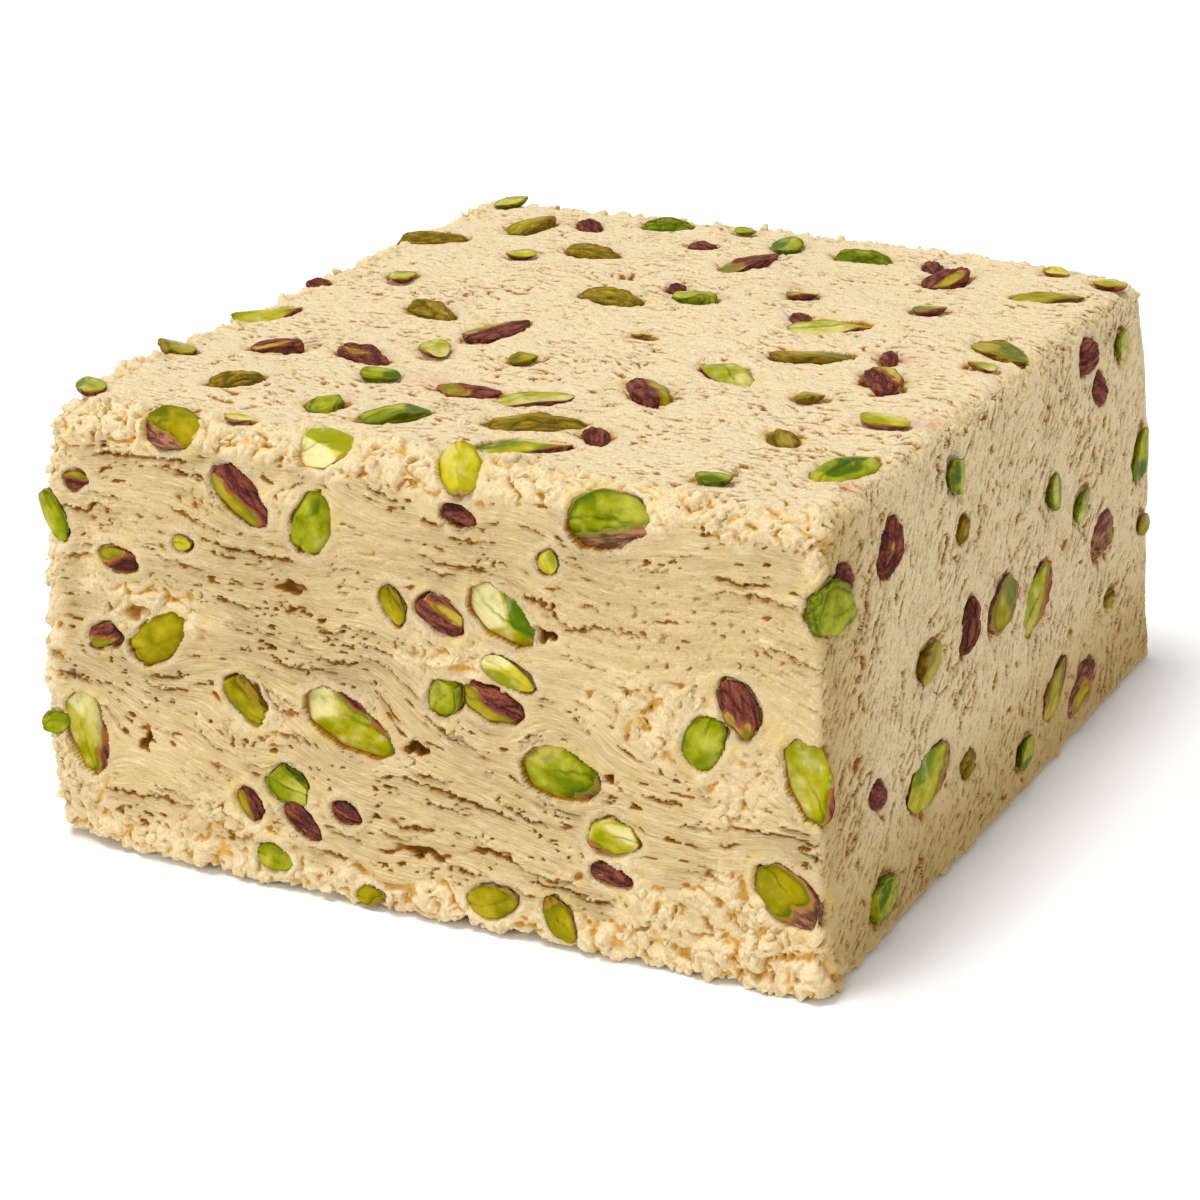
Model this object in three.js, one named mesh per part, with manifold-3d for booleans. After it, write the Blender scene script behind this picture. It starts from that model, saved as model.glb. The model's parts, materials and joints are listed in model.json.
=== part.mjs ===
// A block of pistachio halva: pulled sesame fudge with whole, split and chopped pistachio kernels in it.
// Millimetres, +Z up. The origin is on the surface the block stands on, under the middle of the block.
// The front face looks along -Y, the right face along +X.
import * as THREE from "three";
import { mergeVertices } from "three/addons/utils/BufferGeometryUtils.js";
import Module from "manifold-3d";

// The block, measured half way up. Its four sides lean in, as in the tray that it was pressed in.
const WIDTH = 140;
const DEPTH = 160;
const HEIGHT = 76;
const LEAN = 3.2; // each side stands this much further out at the foot than at the top
const ROUNDING = 4.5; // radius of the worn edges
const WORN = [[1, 1, 1, 5], [-1, -1, 1, 2.5], [1, -1, 1, 2]]; // which corner, and how much is worn off it
const WORN_REACH = 11; // how far from a corner the wear reaches
const GRID = [11, 12, 8]; // cells along X, Y and Z
const EDGE_LINE = 0.42; // share of the rounding where an extra grid line runs
const SWELL = 0.45; // how far the faces bulge and dip
const SWELL_WAVES = [[0.053, 0, 0, 1.3], [0.032, 0.043, 0, 0], [0, 0.059, 0.077, 0.6]]; // per mm, and start
const CRUMBLE = 1.1; // how far the edges crumble
const CRUMBLE_WAVE = [[0.9, 0], [0.8, 1], [1.1, 2]]; // radians per mm along X, Y and Z, and start

// The kernels.
const GAP = 0.3; // clearance between a kernel and its socket
const KERNEL_SIDES = 7;
const KERNEL_RINGS = 4;
const TAPER = 0.16; // how much slimmer a kernel is at its tip than in its middle
const BOW = 0.1; // how far a kernel may bend sideways, as a share of half its width
const BOW_STEP = 2.4; // radians from one kernel's bend to the next one's
const THICKNESS = 0.8; // of a kernel's width
const CUTTER = 60; // side of the box that slices a kernel

// How far each shape stands out of the halva, and how it is sliced from a whole kernel. A slice is a
// direction, with X along the kernel and Z out of the block, and how far from the middle it cuts. Both are
// stated as if the kernel were a ball of radius 1.
const SHAPES = {
  dome: { proud: 1.4, slices: [] },
  half: { proud: 0.7, slices: [[0.1, 0.15, 1, 0.1]] },
  stub: { proud: 1.3, slices: [[1, 0.3, 0.15, 0.7], [-0.12, 0.2, 1, 0.35]] },
  wedge: { proud: 1.6, slices: [[0.05, 0.6, 0.8, 0.3], [0.1, -0.6, 0.8, 0.4]] },
  chunk: { proud: 1.4, slices: [[1, 0.3, 0.15, 0.75], [-1, 0.2, 0.1, 0.8], [0.1, -0.25, 1, 0.35]] },
};

// Colour and roughness of the halva and of each kind of kernel.
const LOOKS = {
  halva: [0xdec69a, 0.8],
  bright: [0xa9bf3c, 0.4],
  green: [0x7d9a2e, 0.42],
  olive: [0x7f7a34, 0.45],
  purple: [0x6b4446, 0.55],
  pale: [0xd6cf6e, 0.45],
};

// Each kernel: how far along its face and how far up it, length, width, turn in degrees, shape and look.
// On the front face the first distance runs from the left edge and the second from the foot.
const FRONT = [
  [39, 65.5, 12.5, 8, -42, "wedge", "purple"],
  [52, 63, 12.5, 8.5, 72, "dome", "green"],
  [104, 71, 14.5, 10, 15, "half", "green"],
  [75.5, 51.5, 10, 5.5, -28, "chunk", "purple"],
  [86, 53, 13.5, 8, -34, "half", "bright"],
  [126, 44.5, 10.5, 6, -62, "stub", "purple"],
  [84.5, 38.5, 12, 6.5, -14, "dome", "purple"],
  [120, 38.5, 10.5, 7, 65, "chunk", "green"],
  [137, 35, 14.5, 8, -72, "half", "bright"],
  [23, 39, 14, 8.5, 38, "dome", "olive"],
  [40, 31.5, 10.5, 6, -45, "chunk", "olive"],
  [59, 30.5, 18, 9.5, -22, "half", "bright"],
  [96, 29, 14, 9.5, -8, "half", "green"],
  [9.5, 20, 15, 9, -76, "half", "bright"],
  [48, 18, 9, 7, -30, "chunk", "green"],
  [105, 20.5, 9.5, 6, 5, "chunk", "bright"],
  [134, 16, 13.5, 8, -35, "stub", "olive"],
];

// On the worn edge above the front face the first distance runs from the left and the second up the slope.
const BROW = [
  [25, 0, 11, 9, -8, "wedge", "olive"],
  [53.5, 0.5, 10.5, 8, 12, "chunk", "pale"],
  [78, 0, 10, 8, -60, "wedge", "pale"],
];

// On the top face the first distance runs from the left edge and the second from the front edge.
const TOP = [
  [4.5, 64, 15, 8, 70, "half", "bright"],
  [23, 24, 11, 6, 65, "dome", "olive"],
  [57, 18, 13, 7.5, 55, "stub", "green"],
  [79.5, 24, 18, 7.5, 28, "dome", "olive"],
  [83, 13, 15.5, 8.5, 33, "half", "bright"],
  [61, 36, 11, 7, 10, "half", "purple"],
  [72.5, 37, 13.5, 7.5, 38, "half", "bright"],
  [18.5, 45, 10, 6, 30, "stub", "purple"],
  [34, 47.5, 13.5, 6, -25, "dome", "purple"],
  [31, 77.5, 13, 6.5, -28, "dome", "olive"],
  [47.5, 71, 17, 7.5, 78, "half", "purple"],
  [39.5, 125.5, 13.5, 6.5, -12, "dome", "olive"],
  [6, 123.5, 14.5, 7.5, 28, "dome", "olive"],
  [19, 140, 14, 6.5, 80, "stub", "olive"],
  [43, 152, 11, 7.5, 30, "dome", "green"],
  [57.5, 97.5, 15, 8, -12, "dome", "olive"],
  [71.5, 103, 10.5, 7, -20, "stub", "green"],
  [69.5, 131, 17, 7, 76, "half", "purple"],
  [87, 146, 12, 8, 5, "dome", "green"],
  [107, 138, 14, 7.5, 85, "stub", "purple"],
  [127, 135.5, 14, 7, 20, "half", "olive"],
  [100.5, 97.5, 16, 8, 42, "half", "bright"],
  [105, 79.5, 16, 7, 32, "half", "olive"],
  [95.5, 64, 14, 7.5, -38, "half", "bright"],
  [121, 70, 14, 7, -62, "chunk", "purple"],
  [88.5, 47.5, 16, 6.5, -48, "stub", "purple"],
  [132.5, 26, 16, 8.5, 75, "dome", "green"],
  [132, 97, 15, 8, -40, "half", "olive"],
];

// On the right face the first distance runs from the front edge and the second from the foot.
const RIGHT = [
  [26, 64, 11, 7.5, 50, "dome", "purple"],
  [60.5, 40, 10.5, 5.5, 55, "dome", "purple"],
  [77, 39, 15, 7.5, 22, "stub", "olive"],
  [95.5, 33, 16.5, 9.5, 35, "half", "bright"],
  [43.5, 20.5, 18, 9, 12, "half", "bright"],
  [24.5, 7.5, 12, 7.5, 5, "chunk", "green"],
  [105.5, 13, 15.5, 8, 26, "half", "olive"],
  [119.5, 8.5, 16, 6.5, 22, "dome", "olive"],
  [131, 34, 12, 8.5, 25, "dome", "green"],
  [122, 69.5, 9.5, 6.5, 5, "dome", "purple"],
  [4.5, 61.5, 13, 9, -8, "stub", "green"],
];

const wasm = await Module();
wasm.setup();

// A closed three.js geometry as a solid that can be joined and cut.
function solidOf(geometry) {
  const bare = geometry.clone();
  bare.deleteAttribute("normal");
  bare.deleteAttribute("uv");
  const merged = mergeVertices(bare, 1e-3);
  return new wasm.Manifold(
    new wasm.Mesh({
      numProp: 3,
      vertProperties: new Float32Array(merged.attributes.position.array),
      triVerts: new Uint32Array(merged.index.array),
    }),
  );
}

// The same solid as a three.js geometry.
function geometryOf(solid) {
  const mesh = solid.getMesh();
  const geometry = new THREE.BufferGeometry();
  geometry.setAttribute("position", new THREE.BufferAttribute(mesh.vertProperties, 3));
  geometry.setIndex(new THREE.BufferAttribute(mesh.triVerts, 1));
  geometry.computeVertexNormals();
  return geometry;
}

function materialOf(look) {
  const [color, roughness] = LOOKS[look];
  return new THREE.MeshStandardMaterial({ color, roughness, metalness: 0 });
}

// How far a side stands out beyond its place half way up, at a height above the foot.
function leanAt(z) {
  return LEAN * (0.5 - z / HEIGHT);
}

// How far the surface bulges or dips at a point.
function swellAt(point) {
  let sum = 0;
  for (const [x, y, z, start] of SWELL_WAVES) {
    sum += Math.sin(point.x * x + point.y * y + point.z * z + start);
  }
  return (SWELL * sum) / 2;
}

// How far an edge has crumbled away at a point, from 0 to CRUMBLE.
function crumbleAt(point) {
  const waves = CRUMBLE_WAVE.map(([step, start], axis) => Math.sin(point.getComponent(axis) * step + start));
  return (CRUMBLE * (1 + waves[0] * waves[1] * waves[2])) / 2;
}

// Moves an even grid line towards its edge, so that two lines run in each rounding and the rest stay even.
function gridLine(value, half, cells) {
  const index = Math.round(((value + half) / (2 * half)) * cells);
  const fromEdge = Math.min(index, cells - index);
  const inset = [0, ROUNDING * EDGE_LINE, ROUNDING][fromEdge];
  if (inset !== undefined) return Math.sign(value) * (half - inset);
  const step = (2 * (half - ROUNDING)) / (cells - 4);
  return -half + ROUNDING + (index - 2) * step;
}

function blockGeometry() {
  const geometry = new THREE.BoxGeometry(WIDTH, DEPTH, HEIGHT, ...GRID);
  const half = new THREE.Vector3(WIDTH / 2, DEPTH / 2, HEIGHT / 2);
  const inner = half.clone().subScalar(ROUNDING);
  const outer = inner.clone().negate();
  const point = new THREE.Vector3();
  const places = geometry.attributes.position;
  for (let i = 0; i < places.count; i++) {
    point.fromBufferAttribute(places, i);
    point.x = gridLine(point.x, half.x, GRID[0]);
    point.y = gridLine(point.y, half.y, GRID[1]);
    point.z = gridLine(point.z, half.z, GRID[2]);
    const core = point.clone().clamp(outer, inner);
    const out = point.clone().sub(core).normalize();
    const onEdge = 3 * (1 - Math.max(Math.abs(out.x), Math.abs(out.y), Math.abs(out.z)));
    point.copy(core).addScaledVector(out, ROUNDING);
    point.z += half.z;
    const offFoot = 1 + Math.min(0, out.z);
    point.addScaledVector(out, offFoot * (swellAt(point) - onEdge * crumbleAt(point)));
    point.x += (point.x / half.x) * leanAt(point.z);
    point.y += (point.y / half.y) * leanAt(point.z);
    for (const [x, y, z, depth] of WORN) {
      const corner = new THREE.Vector3(x * half.x, y * half.y, (1 + z) * half.z);
      const share = point.distanceTo(corner) / WORN_REACH;
      point.addScaledVector(new THREE.Vector3(x, y, z).normalize(), -depth * Math.exp(-share * share));
    }
    places.setXYZ(i, point.x, point.y, point.z);
  }
  return geometry;
}

// A whole kernel around the origin, with its long axis along X and its tip at +X.
function wholeKernel(half, bow) {
  const geometry = new THREE.SphereGeometry(1, KERNEL_SIDES, KERNEL_RINGS);
  geometry.rotateZ(-Math.PI / 2);
  const places = geometry.attributes.position;
  for (let i = 0; i < places.count; i++) {
    const along = places.getX(i);
    const slim = 1 - TAPER * along;
    const y = places.getY(i) * slim + bow * along * along;
    places.setXYZ(i, along * half.x, y * half.y, places.getZ(i) * slim * half.z);
  }
  return solidOf(geometry);
}

// The box that takes away everything beyond a slice. The slice moves out by the clearance, for a socket.
function sliceAway(slice, half, clearance) {
  const [x, y, z, share] = slice;
  const normal = new THREE.Vector3(x, y, z).normalize().divide(half);
  const reach = share / normal.length() + clearance;
  normal.normalize();
  const box = new THREE.BoxGeometry(CUTTER, CUTTER, CUTTER);
  box.translate(0, 0, CUTTER / 2);
  box.applyQuaternion(new THREE.Quaternion().setFromUnitVectors(new THREE.Vector3(0, 0, 1), normal));
  box.translate(...normal.multiplyScalar(reach).toArray());
  return solidOf(box);
}

// A kernel cut to its shape, or the socket around it where there is a clearance.
function kernelSolid({ half, shape, bow }, clearance) {
  let solid = wholeKernel(half.clone().addScalar(clearance), bow);
  for (const slice of SHAPES[shape].slices) {
    solid = solid.subtract(sliceAway(slice, half, clearance));
  }
  return solid;
}

// A point at shares x and y of the block's half width and half depth, at a height above the foot.
function placeAt(x, y, z) {
  return new THREE.Vector3(x * (WIDTH / 2 + leanAt(z)), y * (DEPTH / 2 + leanAt(z)), z);
}

// The way out of the worn front edge, the way up its slope, and how far inside the sharp edge its middle is.
const BROW_OUT = new THREE.Vector3(0, -1, 1).normalize();
const SLOPE = new THREE.Vector3(0, 1, 1).normalize();
const BROW_INSET = BROW_OUT.clone().multiplyScalar((Math.SQRT2 - 1) * ROUNDING);

// Where a face's two distances lead, the face's outward direction and the direction of its first distance.
const FACES = {
  front: (u, v) => ({
    place: placeAt((2 * u) / WIDTH - 1, -1, v),
    out: new THREE.Vector3(0, -1, 0),
    along: new THREE.Vector3(1, 0, 0),
  }),
  brow: (u, v) => ({
    place: placeAt((2 * u) / WIDTH - 1, -1, HEIGHT).add(SLOPE.clone().multiplyScalar(v)).sub(BROW_INSET),
    out: BROW_OUT,
    along: new THREE.Vector3(1, 0, 0),
  }),
  top: (u, v) => ({
    place: placeAt((2 * u) / WIDTH - 1, (2 * v) / DEPTH - 1, HEIGHT),
    out: new THREE.Vector3(0, 0, 1),
    along: new THREE.Vector3(1, 0, 0),
  }),
  right: (u, v) => ({
    place: placeAt(1, (2 * u) / DEPTH - 1, v),
    out: new THREE.Vector3(1, 0, 0),
    along: new THREE.Vector3(0, 1, 0),
  }),
};

// One pistachio kernel, standing proud of its face by its shape's amount.
function pistachio(face, row, index) {
  const [u, v, length, width, turn, shape, look] = row;
  const half = new THREE.Vector3(length / 2, width / 2, (width * THICKNESS) / 2);
  const facts = { half, shape, bow: BOW * Math.sin(index * BOW_STEP) };
  const solid = kernelSolid(facts, 0);
  const mesh = new THREE.Mesh(geometryOf(solid), materialOf(look));
  mesh.name = `pistachio_${face}_${String(index + 1).padStart(2, "0")}`;

  const { place, out, along } = FACES[face](u, v);
  const across = new THREE.Vector3().crossVectors(out, along);
  mesh.quaternion.setFromRotationMatrix(new THREE.Matrix4().makeBasis(along, across, out));
  mesh.rotateZ(THREE.MathUtils.degToRad(turn));
  const top = solid.boundingBox().max[2];
  const rise = SHAPES[shape].proud + swellAt(place) - top;
  mesh.position.copy(place).addScaledVector(out, rise);
  mesh.updateMatrix();
  mesh.userData.socket = geometryOf(kernelSolid(facts, GAP)).applyMatrix4(mesh.matrix);
  return mesh;
}

// The halva itself, with a socket for each kernel.
function halvaBlock(kernels) {
  let solid = solidOf(blockGeometry());
  for (const kernel of kernels) {
    solid = solid.subtract(solidOf(kernel.userData.socket));
  }
  const mesh = new THREE.Mesh(geometryOf(solid), materialOf("halva"));
  mesh.name = "halva_block";
  return mesh;
}

const kernels = [
  ...FRONT.map((row, index) => pistachio("front", row, index)),
  ...BROW.map((row, index) => pistachio("brow", row, index)),
  ...TOP.map((row, index) => pistachio("top", row, index)),
  ...RIGHT.map((row, index) => pistachio("right", row, index)),
];
const halva = new THREE.Group();
halva.add(halvaBlock(kernels), ...kernels);

export default halva;
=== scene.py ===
import itertools
import json
import math

import bmesh
import bpy
import numpy as np
from bpy.props import FloatProperty, FloatVectorProperty, IntProperty, PointerProperty
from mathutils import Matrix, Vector
from mathutils.bvhtree import BVHTree

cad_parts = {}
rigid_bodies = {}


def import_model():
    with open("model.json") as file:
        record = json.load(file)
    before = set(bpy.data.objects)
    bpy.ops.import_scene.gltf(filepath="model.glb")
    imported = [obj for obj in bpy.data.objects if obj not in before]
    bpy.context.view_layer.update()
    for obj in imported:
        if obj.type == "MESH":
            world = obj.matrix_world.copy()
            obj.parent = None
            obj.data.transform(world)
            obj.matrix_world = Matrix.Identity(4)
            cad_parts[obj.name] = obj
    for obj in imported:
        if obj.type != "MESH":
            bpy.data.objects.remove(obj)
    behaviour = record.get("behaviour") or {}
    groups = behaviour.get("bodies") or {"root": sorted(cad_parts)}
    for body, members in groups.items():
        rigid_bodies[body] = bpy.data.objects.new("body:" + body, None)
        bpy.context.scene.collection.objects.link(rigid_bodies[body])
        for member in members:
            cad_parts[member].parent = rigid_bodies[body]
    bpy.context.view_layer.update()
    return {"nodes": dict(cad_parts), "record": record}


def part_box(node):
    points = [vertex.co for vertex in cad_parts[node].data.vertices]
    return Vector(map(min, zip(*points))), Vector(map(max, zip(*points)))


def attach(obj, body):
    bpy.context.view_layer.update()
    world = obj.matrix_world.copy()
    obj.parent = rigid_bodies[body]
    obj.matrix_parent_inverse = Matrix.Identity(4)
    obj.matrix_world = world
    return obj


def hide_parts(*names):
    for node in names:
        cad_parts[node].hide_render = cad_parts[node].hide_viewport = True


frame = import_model()

bl_info = {
    "name": "Pistachio Halva Block",
    "version": (1, 0, 0),
    "blender": (4, 5, 0),
    "location": "3D View > Sidebar > Halva",
    "description": "Pulled sesame halva with pistachio kernels, built around a fixed frame",
    "category": "Object",
}

MM = 0.001

# The block, in millimetres: what the solid says, and the worn form that its sides take.
LOW, HIGH = (np.array(corner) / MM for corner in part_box("halva_block"))
MIDDLE = (LOW + HIGH) / 2
LEAN = 3.2  # each side stands this much further out at the foot than at the top
SWELL = 0.45  # how far the faces bulge and dip
SWELL_WAVES = ((0.053, 0, 0, 1.3), (0.032, 0.043, 0, 0), (0, 0.059, 0.077, 0.6))
HALF_X = (HIGH[0] - LOW[0] - LEAN) / 2
HALF_Y = (HIGH[1] - LOW[1] - LEAN) / 2
HEIGHT = HIGH[2] - SWELL
# Worn corners: which corner, and how much is worn off it.
WORN = ((1, 1, 1, 2.6), (-1, -1, 1, 2.5), (1, -1, 1, 2.0), (-1, -1, -1, 5.0))
WORN_REACH = 11.0
WORN_LOWEST = -0.35  # a corner at the foot is worn inwards, and hardly upwards
ROUNDED = 4.5  # how round the upright edges are
ROUNDED_NEAR = 2.2  # the one between the front and the right face
ROUNDED_TOP = 4.2
ROUNDED_FOOT = 2.4
ROUNDED_OVER = 14.0  # how far from the top and the foot their roundness reaches

# How finely the faces are drawn, in cells along X, Y and Z, and how thick the skin of each face is.
CELLS = (480, 400, 280)
SKIN_DEPTH = 8.0
PARTS = {"front": 2, "right": 2, "top": 2}  # a face's skin is divided where it would hold too many cells
COARSE = ("back", "left")  # these have half as many cells upwards
LOWEST = 0.05  # how high above the floor the lowest halva ends
CORE_CELLS = (60, 70)  # how finely the core's foot is drawn
CORE_OVERLAP = 0.5  # how far the core reaches into the skins
SKIN_LIFT = 0.3  # how far the inner sides of the skins are lifted
CORE_DENTS = 0.5  # how deep the foot's dents are


# --- Numbers that vary over space ---


def smoothstep(low, high, value):
    share = np.clip((value - low) / (high - low), 0, 1)
    return share * share * (3 - 2 * share)


def mixed(first, second, share):
    return first * (1 - share) + second * share


def hashed(cells, seed):
    """A random whole number for each whole-numbered point."""
    x, y, z = (cells[:, axis].astype(np.uint32) for axis in range(3))
    mix = x * np.uint32(374761393) + y * np.uint32(668265263) + z * np.uint32(2246822519)
    mix += np.uint32(seed * 3266489917 % 2**32)
    mix = (mix ^ (mix >> np.uint32(13))) * np.uint32(1274126177)
    return mix ^ (mix >> np.uint32(16))


GRADIENTS = np.array([v for v in itertools.product((-1, 0, 1), repeat=3) if sum(map(abs, v)) == 2], float)


def noise(points, seed):
    """Smooth noise of about -1 to 1, which changes over a distance of 1."""
    cell = np.floor(points)
    inside = points - cell
    cell = cell.astype(np.int64)
    ease = inside**3 * (inside * (inside * 6 - 15) + 10)
    total = np.zeros(len(points))
    for corner in itertools.product((0, 1), repeat=3):
        weight = np.prod(np.where(corner, ease, 1 - ease), axis=1)
        slope = GRADIENTS[hashed(cell + corner, seed) % len(GRADIENTS)]
        total += weight * ((inside - corner) * slope).sum(1)
    return total * 1.5


def chunks(points, seed):
    """Packed lumps of about a unit across: how round, near the middle, high and tilted each is."""
    cell = np.floor(points).astype(np.int64)
    nearest, second = np.full(len(points), 9.0), np.full(len(points), 9.0)
    chosen = np.zeros(len(points), np.uint32)
    offset = np.zeros_like(points)
    for step in itertools.product((-1, 0, 1), repeat=3):
        here = cell + step
        draws = [hashed(here, seed + axis) for axis in range(3)]
        gap = here + np.stack(draws, 1) / 2**32 - points
        square = (gap**2).sum(1)
        closer = square < nearest
        second = np.where(closer, nearest, np.minimum(second, square))
        nearest = np.where(closer, square, nearest)
        chosen = np.where(closer, draws[0], chosen)
        offset = np.where(closer[:, None], gap, offset)
    ball = np.sqrt(np.clip(1 - nearest / 0.75, 0, 1))
    inside = smoothstep(0.0, 0.28, np.sqrt(second) - np.sqrt(nearest))
    lift = chosen % np.uint32(997) / 996
    tilt = (offset * GRADIENTS[chosen % np.uint32(len(GRADIENTS))]).sum(1)
    return ball, inside, lift, tilt


# --- The form of the block ---


def lean_at(z):
    return LEAN * (0.5 - z / HEIGHT)


def swell_at(points):
    waves = sum(np.sin(points @ np.array(wave[:3]) + wave[3]) for wave in SWELL_WAVES)
    return SWELL * waves / 2


def rounding_at(points):
    """How round the edges are: softest at the top left, sharp along the near upright edge and at the foot."""
    right = smoothstep(-HALF_X, HALF_X, points[:, 0])
    back = smoothstep(-HALF_Y, HALF_Y, points[:, 1])
    upright = mixed(mixed(ROUNDED, ROUNDED_NEAR, right), ROUNDED, back)
    top = smoothstep(HEIGHT - ROUNDED_OVER, HEIGHT, points[:, 2])
    foot = smoothstep(ROUNDED_OVER, 0, points[:, 2])
    return mixed(mixed(upright, ROUNDED_TOP, top), ROUNDED_FOOT, foot)


def formed(points):
    """The worn, leaning form over points on a plain box, and each point's outward direction."""
    radius = rounding_at(points)[:, None]
    half = np.array([HALF_X, HALF_Y, HEIGHT / 2])
    centred = points - [0, 0, HEIGHT / 2]
    core = np.clip(centred, radius - half, half - radius)
    out = centred - core
    out /= np.linalg.norm(out, axis=1, keepdims=True)
    surface = core + out * radius + [0, 0, HEIGHT / 2]
    off_foot = 1 + np.minimum(0, out[:, 2])
    surface += out * (off_foot * swell_at(surface))[:, None]
    lean = lean_at(surface[:, 2])
    surface[:, 0] += surface[:, 0] / HALF_X * lean
    surface[:, 1] += surface[:, 1] / HALF_Y * lean
    for x, y, z, depth in WORN:
        corner = np.array([x * HALF_X, y * HALF_Y, (1 + z) * HEIGHT / 2])
        away = np.linalg.norm(surface - corner, axis=1) / WORN_REACH
        towards = np.array([x, y, max(z, WORN_LOWEST)]) / math.sqrt(3)
        surface -= np.outer(depth * np.exp(-away * away), towards)
    return surface + [MIDDLE[0], MIDDLE[1], 0], out


# The faces: the two axes that a face is measured along, the axis that it looks along, and which way.
FACES = {
    "front": (0, 2, 1, -1),
    "right": (1, 2, 0, 1),
    "back": (0, 2, 1, 1),
    "left": (1, 2, 0, -1),
    "top": (0, 1, 2, 1),
}


def span(axis):
    """Lowest and highest place on the plain box along an axis."""
    half = (HALF_X, HALF_Y)
    return (0.0, HEIGHT) if axis == 2 else (-half[axis], half[axis])


def outward(face):
    _, _, axis, sign = FACES[face]
    out = np.zeros(3)
    out[axis] = sign
    return out


def level_on(out):
    """The level direction in a face that looks along out."""
    return np.array([0.0, 1, 0]) if abs(out[0]) > 0.9 else np.array([1.0, 0, 0])


def place_on(face, u, v):
    """The place u and v millimetres from a face's first corner, on the worn form."""
    first, second, axis, sign = FACES[face]
    point = np.zeros((1, 3))
    point[0, first] = span(first)[0] + u
    point[0, second] = span(second)[0] + v
    point[0, axis] = span(axis)[sign > 0]
    return formed(point)[0][0]


# --- Pistachio kernels ---

# Cuts through a kernel, as directions with X along it and Z out of the block, and how far out each lies.
CUTS = {
    "dome": (),
    "half": ((0.1, 0.15, 1, 0.12),),
    "stub": ((1, 0.3, 0.15, 0.7), (-0.12, 0.2, 1, 0.35)),
    "wedge": ((0.05, 0.6, 0.8, 0.3), (0.1, -0.6, 0.8, 0.4)),
    "chunk": ((1, 0.3, 0.15, 0.75), (-1, 0.2, 0.1, 0.8), (0.1, -0.25, 1, 0.35)),
}
THICKNESS = 0.8  # of a kernel's width
TAPER = 0.16  # how much slimmer a kernel is at one end, and wider at the other
PROUD, PROUD_SHARE = 0.25, 0.09  # how far a chip stands out: so much, and this share of its width
KERNEL_SHIFT, CHIP_SHIFT = 7.3, 5.1  # how far apart the patterns of two kernels or two chips lie
KERNEL_LEVEL, CHIP_LEVEL = 5, 4  # how finely each is divided
FACET_DROP = 0.9  # the furthest that a facet lowers a kernel's rim
BROW_DROP = 2.0  # the same on the worn edge, where the kernels stand free
PEELED = ("front_02", "front_07", "front_10", "front_16", "top_27")  # kernels without skin
# Kernels whose skin is tinged with rose and violet, though their slot's isn't.
ROSY = ("front_03", "front_13", "front_17", "brow_01", "right_03", "right_07", "right_08", "right_09")
RAISED = {"top": 0.3, "right": 0.2}  # how much further out the kernels of these faces stand
CUT_CORNERS = 6  # a flat face with this many corners is a cut, and not the kernel's own side

# Small chips and pieces: how far along the face and up it, length, width, turn in degrees, cut and look.
FRONT_CHIPS = (
    (94, 63, 4, 3.2, 80, "half", "pale"), (28, 56, 3, 2.5, 0, "half", "pale"),
    (16, 51.5, 8, 3.5, -5, "stub", "purple"), (67, 52, 6.5, 3.5, -70, "half", "olive"),
    (78.5, 68, 6.5, 3.5, -10, "dome", "purple"), (87, 44, 9.5, 4.2, -22, "half", "pale"),
    (76, 38.5, 7, 5.5, 60, "stub", "green"), (13, 38, 6.5, 3.8, 20, "stub", "purple"),
    (50.5, 12.5, 9, 4, -38, "dome", "purple"), (104.5, 14, 7.5, 3.2, -12, "dome", "purple"),
    (84.5, 6, 9, 5.5, 15, "half", "olive"), (96, 5, 8.5, 4.5, -55, "half", "olive"),
    (58.5, 15.5, 6, 3.5, -20, "dome", "purple"), (45.5, 5.5, 6.5, 4, -15, "half", "green"),
    (41, 13.5, 6.5, 4, -50, "stub", "purple"), (2.5, 57, 9, 4.2, -65, "half", "green"),
    (7, 64, 4.5, 2.6, 0, "half", "purple"), (3, 21, 5.5, 4, 20, "half", "green"),
    (63, 2.5, 5, 3, 10, "half", "olive"),
)
TOP_CHIPS = (
    (3, 37, 9, 6, -40, "half", "olive"), (2.5, 10, 9, 5, -60, "half", "bright"),
    (44, 17.5, 7.5, 6, -70, "chunk", "green"), (91, 22.5, 9, 4.5, -60, "dome", "purple"),
    (43.5, 37, 7, 5.5, 10, "half", "green"), (44, 55, 9, 5, -50, "half", "bright"),
    (60.5, 56, 5, 4.5, 20, "half", "olive"), (15, 95, 8.5, 5, -65, "half", "bright"),
    (2, 86, 5, 4, 30, "dome", "purple"), (28, 118, 6, 4.5, 5, "half", "bright"),
    (29, 145.5, 8, 5, -50, "dome", "purple"), (6, 156, 8, 5, 70, "half", "green"),
    (66, 107, 6, 3, -55, "dome", "purple"), (71, 146, 9, 6, -70, "half", "green"),
    (88, 113.5, 6, 5, 0, "half", "bright"), (56, 140, 6, 5, 20, "dome", "purple"),
    (101, 146, 7, 4, -60, "dome", "purple"), (112, 115, 6, 5, 30, "half", "bright"),
    (94, 99, 7, 3.5, -50, "dome", "purple"), (113, 57, 5, 5, 0, "half", "olive"),
    (118, 35.5, 8.5, 5, -50, "dome", "olive"), (117, 10.5, 5.5, 5, 0, "half", "green"),
    (129.5, 50, 8.5, 5.5, -10, "half", "pale"), (123, 153, 5, 4, 0, "half", "pale"),
    (135, 150, 8, 5, -30, "half", "bright"), (133, 86, 6, 4, -40, "half", "bright"),
    (117, 83, 7, 3, -70, "dome", "purple"), (59, 153, 5, 3, -20, "half", "green"),
    (36, 4, 5, 3, 20, "half", "pale"), (73, 77, 4, 3, 0, "half", "pale"),
)
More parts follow.
